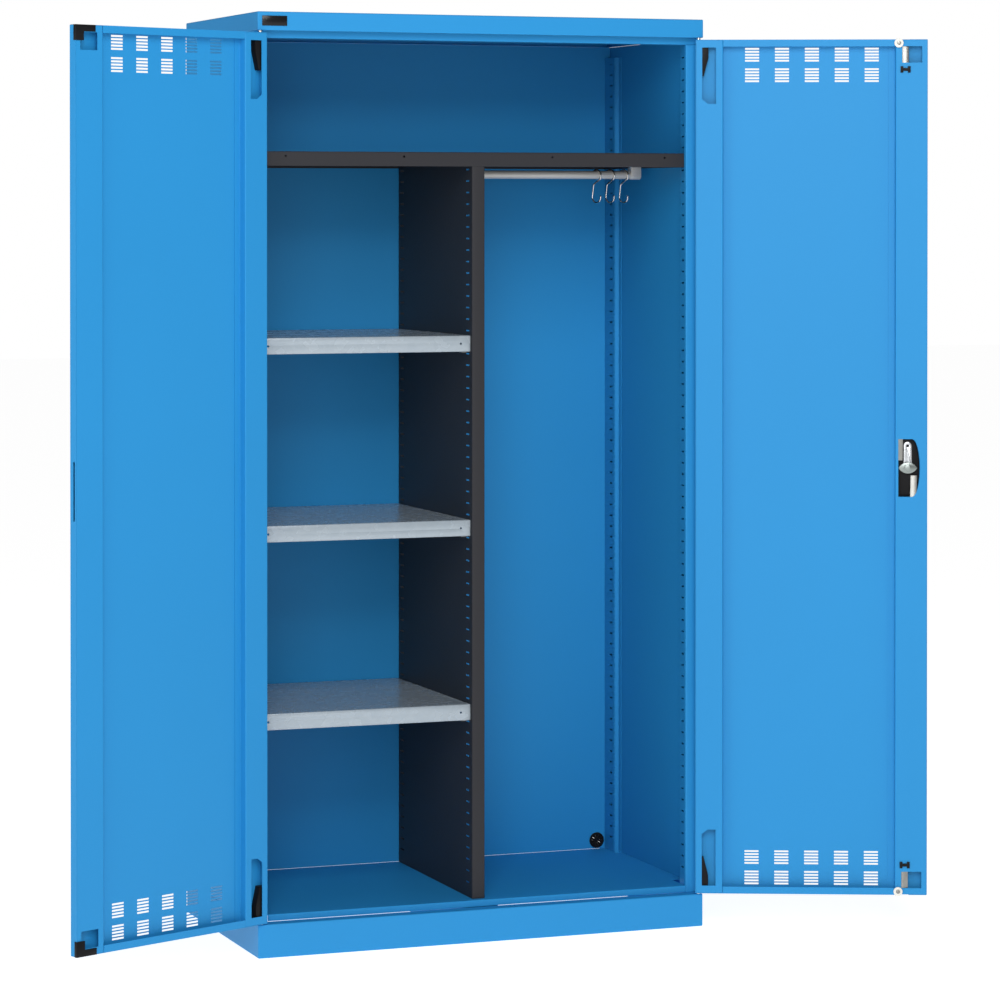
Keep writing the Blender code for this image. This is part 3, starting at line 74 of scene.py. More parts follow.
# Folded sections: the slotted webs and their rows of slots
WEB_X = 0.4966
FRONT_SLOT_Y = -0.2035
REAR_SLOT_Y = 0.2180
PARTITION_REAR_SLOT_Y = 0.2300
LIP = 0.015
FRONT_RETURN = 0.012
BEND_STEPS = 4
ON_SECTION = 0.00001   # a mark this close to a section lies on it
STRAIGHT = 0.0001      # radians between two stretches that need no bend

# Shelf clips
CLIP_THICK = 0.0012
CLIP_GAP = 0.0013
CLIP_LEG = 0.022
CLIP_FOOT = 0.014
CLIP_DROP = 0.0022
CLIP_BEND = 0.0015
CLIP_HALF_WIDTH = 0.008
CLIP_EDGE = 0.0003
REAR_CLIP = 0.92       # share of a shelf's depth at which its rear clips stand

# The hooks' middle line, from the rail's axis
HOOK_LOOP = 0.0128
HOOK_CUP = 0.0122
HOOK_CUP_Z = -0.0505
HOOK_NECK = ((0.0114, -0.0092), (-0.0085, -0.0217))
HOOK_BEND = 0.0060
HOOK_BEND_STEPS = 8
HOOK_LOOP_ARC = (190.0, -20.0, 36)    # first and last angle in degrees, and steps
HOOK_CUP_ARC = (180.0, 380.0, 30)
HOOK_TIP = 0.6         # share of the wire's thickness that is left at its ends
WIRE_ROUNDNESS = 6

# Nodes whose CAD shape stays, by finish
PAINTED = (
    "top_cover", "left_side_panel", "right_side_panel", "back_panel", "lintel", "floor_tray", "plinth",
    "floor_cross_member", "left_door_pan", "right_door_pan", "left_door_hinge_stiffener",
    "right_door_hinge_stiffener", "left_door_edge_stiffener", "right_door_lock_stiffener")
DARK = ("top_shelf",)
RAIL = ("clothes_rail",)
SHELVES = ("upper_shelf", "middle_shelf", "lower_shelf")
PINS = ("left_upper_hinge_pin", "left_lower_hinge_pin", "right_upper_hinge_pin", "right_lower_hinge_pin",
        "lock_spindle")

# Solid pieces that are rebuilt with their edges rounded: node, finish, body, slot, radius of the edges
SOFTENED = (
    ("left_rail_bracket", "rail", "cabinet", "rail_grey", 0.0008),
    ("right_rail_bracket", "rail", "cabinet", "rail_grey", 0.0008),
    ("label_plate", "gloss_black", "cabinet", "black_plastic", 0.0004),
    ("cable_grommet", "black", "cabinet", "black_plastic", 0.0003),
    ("left_door_upper_pivot_block", "black", "left_door", "black_plastic", 0.0008),
    ("left_door_lower_pivot_block", "black", "left_door", "black_plastic", 0.0008),
    ("left_door_upper_corner_guard", "black", "left_door", "black_plastic", 0.0006),
    ("left_door_lower_corner_guard", "black", "left_door", "black_plastic", 0.0006),
    ("right_door_upper_pivot_block", "black", "right_door", "black_plastic", 0.0008),
    ("right_door_lower_pivot_block", "black", "right_door", "black_plastic", 0.0008),
    ("upper_rod_guide", "black", "right_door", "black_plastic", 0.0004),
    ("lower_rod_guide", "black", "right_door", "black_plastic", 0.0004),
    ("lock_case", "black", "right_door", "black_plastic", 0.0008),
    ("lock_escutcheon", "black", "right_door", "black_plastic", 0.0010),
    ("t_handle", "black", "handle", "black_plastic", 0.0020),
    ("key_plug", "bright", "key_plug_body", "bright_steel", 0.0004),
    ("latch_lever", "lever_zinc", "handle", "galvanised_steel", 0.0004),
    ("rod_cam", "cam_zinc", "handle", "galvanised_steel", 0.0005),
    ("upper_locking_rod", "zinc", "upper_rod", "galvanised_steel", 0.0003),
    ("lower_locking_rod", "zinc", "lower_rod", "galvanised_steel", 0.0003),
    ("upper_roller", "nylon", "upper_roller_body", "white_nylon", 0.0010),
    ("lower_roller", "nylon", "lower_roller_body", "white_nylon", 0.0010),
)

# Studio light: name, place, size, power
LIGHTS = (
    ("key_box", (-1.2, -5.0, 4.2), 2.6, 140.0),
    ("fill_box", (-2.5, -7.0, 2.6), 3.2, 135.0),
    ("left_box", (-5.0, -4.0, 2.0), 2.4, 18.0),
    ("side_box", (-6.0, -0.8, 2.0), 2.4, 48.0),
)
LIGHT_AIM = Vector((0.0, 0.0, 0.9))
PAINT_GLOSS = 0.22
SURROUND_LIGHT = 0.16
FLOOR_GLOW = 0.88
SURROUND_SEEN = 1.0


# ---------------------------------------------------------------- shader maths

class Value:
    """A number or colour that leaves one node of a material, with arithmetic."""

    def __init__(self, finish, socket):
        self.finish = finish
        self.socket = socket

    def _math(self, operation, *terms):
        return self.finish.node("ShaderNodeMath", {"operation": operation}, dict(enumerate(terms)))

    def __add__(self, other):
        return self._math("ADD", self, other)

    __radd__ = __add__

    def __mul__(self, other):
        return self._math("MULTIPLY", self, other)

    __rmul__ = __mul__


class Finish:
    """A material under construction."""

    def __init__(self, name):
        self.material = bpy.data.materials.new(name)
        self.material.use_nodes = True
        self.tree = self.material.node_tree
        self.shader = self.tree.nodes["Principled BSDF"]

    def node(self, kind, settings=None, sockets=None, output=0):
        """Add a node: its settings first, then the values or links of its sockets."""
        made = self.tree.nodes.new(kind)
        for key, value in (settings or {}).items():
            if key == "stops":
                ramp = made.color_ramp
                while len(ramp.elements) < len(value):
                    ramp.elements.new(0.5)
                for element, (place, colour) in zip(ramp.elements, value):
                    element.position = place
                    element.color = colour
            else:
                setattr(made, key, value)
        for key, value in (sockets or {}).items():
            self.put(made.inputs[key], value)
        return Value(self, made.outputs[output])

    def put(self, socket, value):
        """Link a value to a socket, or set the socket itself."""
        if isinstance(value, Value):
            self.tree.links.new(value.socket, socket)
        else:
            socket.default_value = value

    def place(self, stretch=(1.0, 1.0, 1.0)):
        """The place on the piece, stretched."""
        spot = self.node("ShaderNodeTexCoord", output="Object")
        return self.node("ShaderNodeMapping", sockets={"Vector": spot, "Scale": stretch})

    def noise(self, scale, detail=2.0, stretch=(1.0, 1.0, 1.0), rough=0.5):
        """Cloudy noise from 0 to 1."""
        return self.node("ShaderNodeTexNoise", sockets={
            "Vector": self.place(stretch), "Scale": scale, "Detail": detail, "Roughness": rough})

    def cells(self, scale):
        """Cells, each with a colour of its own."""
        return self.node("ShaderNodeTexVoronoi", sockets={"Vector": self.place(), "Scale": scale},
                         output="Color")

    def ramp(self, factor, *stops):
        """Map a number onto colours; stops are (place, colour)."""
        return self.node("ShaderNodeValToRGB", {"stops": [(p, (*c, 1.0)) for p, c in stops]}, {"Fac": factor})

    def blend(self, factor, first, second):
        """Mix two colours."""
        first = first if isinstance(first, Value) else (*first, 1.0)
        second = second if isinstance(second, Value) else (*second, 1.0)
        return self.node("ShaderNodeMix", {"data_type": "RGBA"}, {0: factor, 6: first, 7: second}, output=2)

    def grey(self, value):
        """The red share of a colour, as a number."""
        return self.node("ShaderNodeSeparateColor", sockets={"Color": value})

    def bump(self, height, strength, distance):
        """A normal from a height."""
        return self.node("ShaderNodeBump", sockets={
            "Height": height, "Strength": strength, "Distance": distance})

    def surface(self, **sockets):
        """Feed the shader's sockets, named with _ for a space, and give back the material."""
        for key, value in sockets.items():
            self.put(self.shader.inputs[key.replace("_", " ")], value)
        return self.material


def shade(colour, factor):
    """A colour made darker or lighter."""
    return tuple(c * factor for c in colour)


def powder_coat(name, colour, roughness, peel):
    """Powder-coated sheet: orange peel, faint unevenness of colour and gloss."""
    finish = Finish(name)
    broad = finish.noise(2.2, 3.0)
    fine = finish.noise(240.0, 2.0)
    speck = finish.noise(900.0, 1.0)
    base = finish.blend(broad, shade(colour, 0.965), shade(colour, 1.035))
    base = finish.blend(fine * 0.16, base, shade(colour, 0.90))
    rough = roughness - 0.04 + 0.05 * broad + 0.04 * fine
    height = fine * 0.75 + speck * 0.25
    return finish.surface(Base_Color=base, Roughness=rough, Normal=finish.bump(height, peel, 0.0004),
                          Metallic=0.0, Coat_Weight=0.0, Specular_IOR_Level=PAINT_GLOSS)


def galvanised():
    """Hot-dip galvanised sheet with a soft spangle and rolling marks."""
    finish = Finish("galvanised_sheet")
    spangle = finish.grey(finish.cells(70.0))
    small = finish.grey(finish.cells(190.0))
    rolled = finish.noise(30.0, 3.0, (1.0, 14.0, 1.0))
    tone = spangle * 0.4 + small * 0.2 + rolled * 0.4
    base = finish.ramp(tone, (0.25, (0.33, 0.385, 0.43)), (0.75, (0.355, 0.41, 0.455)))
    rough = 0.20 + 0.06 * spangle + 0.05 * rolled
    return finish.surface(Base_Color=base, Roughness=rough, Metallic=0.12,
                          Normal=finish.bump(tone, 0.08, 0.0004))


def zinc_plate(name, colour, roughness):
    """Zinc-plated steel with a fine grain."""
    finish = Finish(name)
    cloud = finish.noise(60.0, 4.0)
    grain = finish.noise(220.0, 3.0, (1.0, 1.0, 8.0))
    base = finish.ramp(cloud, (0.3, shade(colour, 0.88)), (0.7, shade(colour, 1.12)))
    return finish.surface(Base_Color=base, Roughness=roughness + 0.14 * grain, Metallic=1.0,
                          Normal=finish.bump(grain, 0.10, 0.0002))


def bright_wire():
    """Nickel-plated wire and pins."""
    finish = Finish("bright_plated_steel")
    cloud = finish.noise(110.0, 3.0)
    base = finish.ramp(cloud, (0.3, (0.66, 0.65, 0.62)), (0.7, (0.80, 0.79, 0.76)))
    return finish.surface(Base_Color=base, Roughness=0.14 + 0.12 * cloud, Metallic=1.0,
                          Normal=finish.bump(cloud, 0.06, 0.0002))


def satin_rail():
    """Satin light grey tube, drawn along its length."""
    finish = Finish("satin_rail")
    drawn = finish.noise(90.0, 3.0, (0.06, 1.0, 1.0))
    base = finish.ramp(drawn, (0.3, (0.56, 0.55, 0.53)), (0.7, (0.66, 0.65, 0.62)))
    return finish.surface(Base_Color=base, Roughness=0.34 + 0.10 * drawn, Metallic=0.25,
                          Normal=finish.bump(drawn, 0.06, 0.0002))


def moulded(name, colour, roughness, grain, gloss=0.5):
    """Moulded plastic with a fine eroded grain."""
    finish = Finish(name)
    eroded = finish.noise(700.0, 3.0, rough=0.65)
    broad = finish.noise(25.0, 2.0)
    base = finish.blend(broad, shade(colour, 0.85), shade(colour, 1.15))
    return finish.surface(Base_Color=base, Roughness=roughness + 0.10 * eroded, Metallic=0.0,
                          Specular_IOR_Level=gloss, Normal=finish.bump(eroded, grain, 0.0003))


def floor_paint(colour):
    """Matt studio floor that glows faintly, so that it melts into the surround."""
    finish = Finish("studio_floor")
    broad = finish.noise(1.5, 3.0)
    base = finish.blend(broad, shade(colour, 0.995), shade(colour, 1.0))
    return finish.surface(Base_Color=base, Roughness=0.70 + 0.05 * broad, Emission_Color=(1.0, 1.0, 1.0, 1.0),
                          Emission_Strength=FLOOR_GLOW)


FINISHES = {}


def finish_of(key):
    """The material of a finish, made once."""
    if key not in FINISHES:
        colours = bpy.context.scene.locker_colours
        makers = {
            "blue": lambda: powder_coat("light_blue_powder_coat", colours.paint, 0.48, 0.16),
            "dark": lambda: powder_coat("anthracite_powder_coat", colours.dark, 0.48, 0.25),
            "galvanised": galvanised,
            "zinc": lambda: zinc_plate("zinc_plated_rod", (0.27, 0.27, 0.255), 0.30),
            "lever_zinc": lambda: zinc_plate("polished_lever", (0.48, 0.50, 0.52), 0.22),
            "cam_zinc": lambda: zinc_plate("zinc_plated_cam", (0.25, 0.28, 0.27), 0.28),
            "bright": bright_wire,
            "rail": satin_rail,
            "black": lambda: moulded("black_moulding", colours.black, 0.38, 0.20, 0.12),
            "gloss_black": lambda: moulded("black_label_plate", colours.black, 0.16, 0.03, 0.30),
            "nylon": lambda: moulded("natural_nylon", colours.nylon, 0.34, 0.10),
            "floor": lambda: floor_paint(colours.floor),
        }
        FINISHES[key] = makers[key]()
    return FINISHES[key]


# ---------------------------------------------------------------- mesh helpers

def new_mesh(name, bm):
    """A mesh from what was modelled, which is then let go."""
    mesh = bpy.data.meshes.new(name)
    bm.to_mesh(mesh)
    bm.free()
    return mesh


def add_piece(name, shape, finish):
    """Put a mesh or curve in the scene, with a finish."""
    obj = bpy.data.objects.new(name, shape)
    bpy.context.collection.objects.link(obj)
    shape.materials.append(finish_of(finish))
    return obj


def copy_piece(node, name, finish):
    """A piece with a CAD node's own shape, ready to be worked on."""
    mesh = frame["nodes"][node].data.copy()
    mesh.name = name
    mesh.materials.clear()
    return add_piece(name, mesh, finish)


def settle(obj, body, slot, *replaced):
    """Let a finished piece ride on its body, in the place of its CAD node; its slot is not used."""
    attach(obj, body)
    if replaced:
        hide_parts(*replaced)


def carry_over(names, finish):
    """Give CAD nodes whose shape is right a finish."""
    for name in names:
        obj = frame["nodes"][name]
        for slot in obj.material_slots:
            slot.material = finish_of(finish)


def apply_modifiers(obj):
    """Turn a piece's modifiers into its mesh."""
    graph = bpy.context.evaluated_depsgraph_get()
    made = bpy.data.meshes.new_from_object(obj.evaluated_get(graph))
    obj.modifiers.clear()
    obj.data = made


def bevel(obj, width, limit):
    """Round the edges that turn by more than a limit in degrees."""
    modifier = obj.modifiers.new("rounded_edges", "BEVEL")
    modifier.width = width
    modifier.segments = 2
    modifier.limit_method = "ANGLE"
    modifier.angle_limit = math.radians(limit)
    modifier.use_clamp_overlap = True


def smooth(mesh):
    """Shade a mesh smoothly, except over its sharp bends."""
    mesh.shade_smooth()
    mesh.set_sharp_from_angle(angle=math.radians(SHARP_BEND))


def softened(node, finish, body, slot, radius):
    """A solid piece in the place of its CAD node, with its edges rounded."""
    bm = bmesh.new()
    bm.from_mesh(frame["nodes"][node].data)
    bmesh.ops.remove_doubles(bm, verts=bm.verts, dist=WELD)
    bmesh.ops.dissolve_limit(bm, angle_limit=math.radians(FLAT), verts=bm.verts, edges=bm.edges)
    piece = add_piece(f"{node}_detail", new_mesh(f"{node}_detail", bm), finish)
    bevel(piece, radius, ROUNDED_FROM)
    apply_modifiers(piece)
    smooth(piece.data)
    settle(piece, body, slot, node)


def bent(corners, radius):
    """Points along a folded sheet's middle line, with an arc at each corner."""
    points = [Vector(c) for c in corners]
    line = [points[0]]
    for before, here, after in zip(points, points[1:], points[2:]):
        arrive = (here - before).normalized()
        leave = (after - here).normalized()
        angle = arrive.angle(leave)
        if angle < STRAIGHT:
            line.append(here)
            continue
        sign = 1 if arrive.cross(leave) > 0 else -1
        start = here - arrive * radius * math.tan(angle / 2)
        centre = start + Vector((-arrive.y, arrive.x)) * radius * sign
        for k in range(BEND_STEPS + 1):
            line.append(centre + Matrix.Rotation(sign * angle * k / BEND_STEPS, 2) @ (start - centre))
    return line + [points[-1]]


def pierced_profile(name, corners, radius, heights, slots):
    """A folded sheet of constant section standing on Z, with slots through it.

    slots is a list of (first point, last point, list of (z0, z1)); its points lie on the section.
    """
    flat = [Vector(c) for c in corners]
    for first, last, _ in slots:
        for mark in (first, last):
            flat = insert_mark(flat, Vector(mark))
    line = bent(flat, radius)
    levels = set(heights)
    for _, _, spans in slots:
        for z0, z1 in spans:
            levels.update((z0, z1))
    levels = sorted(levels)
    holes = []
    for first, last, spans in slots:
        columns = sorted(min(range(len(line)), key=lambda i, m=mark: (line[i] - Vector(m)).length)
                         for mark in (first, last))
        holes.append((columns, {z0 for z0, _ in spans}))
    bm = bmesh.new()
    grid = [[bm.verts.new((p.x, p.y, z)) for p in line] for z in levels]
    for low, (row, above) in enumerate(zip(grid, grid[1:])):
        for i in range(len(line) - 1):
            if any(columns[0] <= i < columns[1] and levels[low] in starts for columns, starts in holes):
                continue
            bm.faces.new((row[i], row[i + 1], above[i + 1], above[i]))
    return new_mesh(name, bm)


def insert_mark(points, mark):
    """Put a point on the straight stretch of a path that it lies on."""
    for i, (a, b) in enumerate(zip(points, points[1:])):
        along = b - a
        share = (mark - a).dot(along) / along.length_squared
        if 0 < share < 1 and (a + along * share - mark).length < ON_SECTION:
            return points[:i + 1] + [mark] + points[i + 1:]
    raise ValueError(f"{tuple(mark)} is not on the section")


def thicken(obj, thickness):
    """Give a sheet its thickness, half to each side."""
    modifier = obj.modifiers.new("sheet", "SOLIDIFY")
    modifier.thickness = thickness
    modifier.offset = 0.0
    modifier.use_even_offset = True


# ---------------------------------------------------------------- properties

class LOCKER_PG_sizes(bpy.types.PropertyGroup):
    """Sizes of the pierced and bent pieces."""

    sheet: FloatProperty(name="Sheet", description="Thickness of the carcass sheet", default=0.0012,
                         unit="LENGTH", subtype="DISTANCE")
    bend: FloatProperty(name="Bend", description="Radius of a fold's middle line", default=0.0016,
                        unit="LENGTH", subtype="DISTANCE")
    slot_pitch: FloatProperty(name="Slot Pitch", description="Distance between shelf slots", default=0.025,
                              unit="LENGTH", subtype="DISTANCE")
    slot_length: FloatProperty(name="Slot Length", description="Length of a shelf slot", default=0.022,
                               unit="LENGTH", subtype="DISTANCE")
    slot_height: FloatProperty(name="Slot Height", description="Height of a shelf slot", default=0.0035,
                               unit="LENGTH", subtype="DISTANCE")
    first_slot: FloatProperty(name="First Slot", description="Height of the lowest row of slots",
                              default=0.119, unit="LENGTH", subtype="DISTANCE")
    divider_length: FloatProperty(name="Divider Slot Length", description="Length of a slot in a shelf",
                                  default=0.008, unit="LENGTH", subtype="DISTANCE")
    divider_width: FloatProperty(name="Divider Slot Width", description="Width of a slot in a shelf",
                                 default=0.003, unit="LENGTH", subtype="DISTANCE")
    divider_pitch: FloatProperty(name="Divider Slot Pitch", description="Distance between slots in a shelf",
                                 default=0.041, unit="LENGTH", subtype="DISTANCE")
    divider_in: FloatProperty(name="Divider Slot Inset", description="Distance of slots from a shelf's edges",
                              default=0.014, unit="LENGTH", subtype="DISTANCE")
    wire: FloatProperty(name="Wire", description="Thickness of the hooks' wire", default=0.0035,
                        unit="LENGTH", subtype="DISTANCE")
    hook_turn: FloatProperty(name="Hook Turn", description="How far a hook is turned from square to the rail",
                             default=math.radians(28.0), subtype="ANGLE")


class LOCKER_PG_colours(bpy.types.PropertyGroup):
    """Colours of the finishes."""

    paint: FloatVectorProperty(name="Paint", description="Powder coat of the carcass and doors",
                               default=(0.020, 0.262, 0.590), subtype="COLOR", min=0, max=1)
    dark: FloatVectorProperty(name="Dark Paint", description="Powder coat of the top shelf and partition",
                              default=(0.026, 0.026, 0.030), subtype="COLOR", min=0, max=1)
    black: FloatVectorProperty(name="Black", description="Black mouldings", default=(0.008, 0.008, 0.009),
                               subtype="COLOR", min=0, max=1)
    nylon: FloatVectorProperty(name="Nylon", description="Rollers", default=(0.80, 0.77, 0.70),
                               subtype="COLOR", min=0, max=1)
    floor: FloatVectorProperty(name="Floor", description="Studio floor", default=(0.60, 0.60, 0.60),
                               subtype="COLOR", min=0, max=1)


class LOCKER_PG_stage(bpy.types.PropertyGroup):
    """The camera and the studio."""

    lens: FloatProperty(name="Lens", description="Focal length in millimetres", default=133.45)
    shift: FloatProperty(name="Shift", description="Vertical shift that keeps the uprights upright",
                         default=-0.2536)
    camera: FloatVectorProperty(name="Camera", description="Place of the camera",
                                default=(-2.7751, -7.7688, 1.5905), unit="LENGTH", subtype="TRANSLATION")
    yaw: FloatProperty(name="Yaw", description="Turn of the camera to the right", default=math.radians(20.55),
                       subtype="ANGLE")
    pitch: FloatProperty(name="Pitch", description="Tilt of the camera upwards", default=math.radians(-0.63),
                         subtype="ANGLE")


# ---------------------------------------------------------------- operators

class LOCKER_OT_stage(bpy.types.Operator):
    """Set up the camera, the floor and the studio light"""

    bl_idname = "locker.stage"
    bl_label = "Stage"

    def execute(self, context):
        stage = context.scene.locker_stage
        data = bpy.data.cameras.new("camera")
        data.lens = stage.lens
        data.sensor_width = SENSOR_WIDTH
        data.shift_y = stage.shift
        data.clip_end = CAMERA_REACH
        camera = bpy.data.objects.new("camera", data)
        context.collection.objects.link(camera)
        camera.location = stage.camera
        camera.rotation_euler = (math.pi / 2 + stage.pitch, 0.0, -stage.yaw)
        context.scene.camera = camera
        self.floor()
        self.world(context)
        for name, place, size, power in LIGHTS:
            self.light(name, place, size, power)
        return {"FINISHED"}

    def floor(self):
        """A wide plain floor."""
        bm = bmesh.new()
        bmesh.ops.create_grid(bm, x_segments=4, y_segments=4, size=FLOOR_REACH)
        floor = add_piece("floor", new_mesh("floor", bm), "floor")
        floor.location.z = -FLOOR_DROP

    def world(self, context):
        """An even white surround, brighter where it is seen than where it lights."""
        world = bpy.data.worlds.new("studio")
        world.use_nodes = True
        tree = world.node_tree
        background = tree.nodes["Background"]
        background.inputs["Color"].default_value = (1.0, 1.0, 1.0, 1.0)
        seen = tree.nodes.new("ShaderNodeLightPath")
        strength = tree.nodes.new("ShaderNodeMapRange")
        strength.inputs["To Min"].default_value = SURROUND_LIGHT
        strength.inputs["To Max"].default_value = SURROUND_SEEN
        tree.links.new(seen.outputs["Is Camera Ray"], strength.inputs["Value"])
        tree.links.new(strength.outputs["Result"], background.inputs["Strength"])
        context.scene.world = world
        context.scene.view_settings.view_transform = "Standard"

    def light(self, name, place, size, power):
        """One square soft box, turned to the cabinet."""
        data = bpy.data.lights.new(name, "AREA")
        data.shape = "SQUARE"
        data.size = size
        data.energy = power
        lamp = bpy.data.objects.new(name, data)
        bpy.context.collection.objects.link(lamp)
        lamp.location = place
        lamp.rotation_euler = (LIGHT_AIM - Vector(place)).to_track_quat("-Z", "Y").to_euler()


class LOCKER_OT_carried(bpy.types.Operator):
    """Give the folded sheets, the rail and the pins their finishes"""

    bl_idname = "locker.carried"
    bl_label = "Sheets, Rail and Pins"

    def execute(self, context):
        carry_over(PAINTED, "blue")
        carry_over(DARK, "dark")
        carry_over(RAIL, "rail")
        carry_over(PINS, "bright")
        return {"FINISHED"}


class LOCKER_OT_solid_pieces(bpy.types.Operator):
    """Build the solid small pieces with rounded edges"""

    bl_idname = "locker.solid_pieces"
    bl_label = "Lock, Hinge and Corner Pieces"

    def execute(self, context):
        for node, finish, body, slot, radius in SOFTENED:
            softened(node, finish, body, slot, radius)
        return {"FINISHED"}


def slot_rows(low, high, sizes):
    """The rows of shelf slots between two heights."""
    rows = []
    z = sizes.first_slot
    while z < high:
        if z - sizes.slot_height > low and z + sizes.slot_height < high:
            rows.append((z - sizes.slot_height / 2, z + sizes.slot_height / 2))
        z += sizes.slot_pitch
    return rows


def slotted_sheet(node, finish, slot, path, web, columns, sizes):
    """A folded sheet of the cabinet with columns of shelf slots in its web, each centred on a Y."""
    low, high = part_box(node)
    rows = slot_rows(low.z, high.z, sizes)
    half = sizes.slot_length / 2
    slots = [((web, y - half), (web, y + half), rows) for y in columns]
    mesh = pierced_profile(f"{node}_slotted", path, sizes.bend, (low.z, high.z), slots)
    piece = add_piece(f"{node}_slotted", mesh, finish)
    thicken(piece, sizes.sheet)
    apply_modifiers(piece)
    smooth(piece.data)
    settle(piece, "cabinet", slot, node)


class LOCKER_OT_uprights(bpy.types.Operator):
    """Build the four slotted uprights"""

    bl_idname = "locker.uprights"
    bl_label = "Slotted Uprights"

    def execute(self, context):
        sizes = context.scene.locker_sizes
        for side, name in ((-1, "front_left_upright"), (1, "front_right_upright")):
            slotted_sheet(name, "blue", "blue_paint", self.front_path(name, side, sizes), side * WEB_X,
                          (FRONT_SLOT_Y,), sizes)
        for side, name in ((-1, "rear_left_upright"), (1, "rear_right_upright")):
            slotted_sheet(name, "blue", "blue_paint", self.rear_path(name, side, sizes), side * WEB_X,
                          (REAR_SLOT_Y,), sizes)
        return {"FINISHED"}

    def front_path(self, name, side, sizes):
        """The front upright's section: face, return, slotted web and lip on the side panel."""
        low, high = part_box(name)
        half = sizes.sheet / 2
        outer = max(abs(low.x), abs(high.x))
        inner = min(abs(low.x), abs(high.x))
        face = low.y + half
        turned = low.y + FRONT_RETURN
        back = high.y - LIP
        path = [(outer, face), (inner + half, face), (inner + half, turned), (WEB_X, turned), (WEB_X, back),
                (outer - half, back), (outer - half, high.y)]
        return [(side * x, y) for x, y in path]

    def rear_path(self, name, side, sizes):
        """The rear upright's section: slotted web, short face and lip on the side panel."""
        low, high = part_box(name)
        half = sizes.sheet / 2
        outer = max(abs(low.x), abs(high.x))
        inner = min(abs(low.x), abs(high.x))
        face = low.y + LIP
        path = [(inner + half, high.y), (inner + half, face), (outer - half, face), (outer - half, low.y)]
        return [(side * x, y) for x, y in path]


class LOCKER_OT_partition(bpy.types.Operator):
    """Build the slotted partition"""

    bl_idname = "locker.partition"
    bl_label = "Slotted Partition"

    def execute(self, context):
        sizes = context.scene.locker_sizes
        low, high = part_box("partition")
        half = sizes.sheet / 2
        left = low.x + half
        right = high.x - half
        front = low.y + half
        rear = high.y - half
        path = [(right, front + LIP), (right, front), (left, front), (left, rear), (right, rear),
                (right, rear - LIP)]
        slotted_sheet("partition", "dark", "anthracite_paint", path, left,
                      (FRONT_SLOT_Y, PARTITION_REAR_SLOT_Y), sizes)
        return {"FINISHED"}


def arc(centre, radius, start, end, steps):
    """Points along an arc, between two angles in degrees."""
    angles = [math.radians(start + (end - start) * k / steps) for k in range(steps + 1)]
    return [Vector((centre[0] + radius * math.cos(a), centre[1] + radius * math.sin(a))) for a in angles]


def rounded_corner(before, here, after, radius, steps):
    """Points round one corner of a line."""
    arrive = (here - before).normalized()
    leave = (after - here).normalized()
    reach = radius * math.tan(arrive.angle(leave) / 2)
    start = here - arrive * reach
    end = here + leave * reach
    shares = [k / steps for k in range(steps + 1)]
    return [start * (1 - t) ** 2 + here * 2 * t * (1 - t) + end * t * t for t in shares]


def hook_line(rest):
    """The middle line of a hook in its own plane, with the rail's axis at zero: (towards the front, up)."""
    loop = arc((0.0, rest + 2 * GAP - HOOK_LOOP), HOOK_LOOP, *HOOK_LOOP_ARC)
    cup = arc((0.0, HOOK_CUP_Z), HOOK_CUP, *HOOK_CUP_ARC)
    neck = [loop[-1], *(Vector(p) for p in HOOK_NECK), cup[0]]
    points = loop
    for before, here, after in zip(neck, neck[1:], neck[2:]):
        points += rounded_corner(before, here, after, HOOK_BEND, HOOK_BEND_STEPS)
    return points + cup


def subtract(obj, bm):
    """Cut a shape away from a piece."""
    cutter = bpy.data.objects.new(f"{obj.name}_cutter", new_mesh(f"{obj.name}_cutter", bm))
    bpy.context.collection.objects.link(cutter)
    modifier = obj.modifiers.new("holes", "BOOLEAN")
    modifier.operation = "DIFFERENCE"
    modifier.solver = "EXACT"
    modifier.object = cutter
    apply_modifiers(obj)
    bpy.data.objects.remove(cutter, do_unlink=True)


def cut(obj, boxes):
    """Cut separate boxes, given as (low, high), through a piece."""
    bm = bmesh.new()
    for low, high in boxes:
        middle = (Vector(low) + Vector(high)) / 2
        size = Vector(high) - Vector(low)
        shape = Matrix.Translation(middle) @ Matrix.Diagonal((*size, 1.0))
        bmesh.ops.create_cube(bm, size=1.0, matrix=shape)
    subtract(obj, bm)


class LOCKER_OT_shelves(bpy.types.Operator):
    """Build the three galvanised shelves with their rows of divider slots"""

    bl_idname = "locker.shelves"
    bl_label = "Shelves"

    def execute(self, context):
        sizes = context.scene.locker_sizes
        for node in SHELVES:
            self.shelf(node, sizes)
        return {"FINISHED"}

    def shelf(self, node, sizes):
        """A folded tray with a row of short slots behind its front edge and another before its rear edge."""
        low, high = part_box(node)
        piece = copy_piece(node, f"{node}_slotted", "galvanised")
        half = sizes.divider_length / 2
        boxes = []
        for y in (low.y + sizes.divider_in, high.y - sizes.divider_in):
            x = low.x + sizes.divider_in
            while x < high.x - sizes.divider_in / 2:
                boxes.append(((x - half, y - sizes.divider_width / 2, high.z - DEEP),
                              (x + half, y + sizes.divider_width / 2, high.z + DEEP)))
                x += sizes.divider_pitch
        cut(piece, boxes)
        smooth(piece.data)
        settle(piece, "cabinet", "galvanised_steel", node)


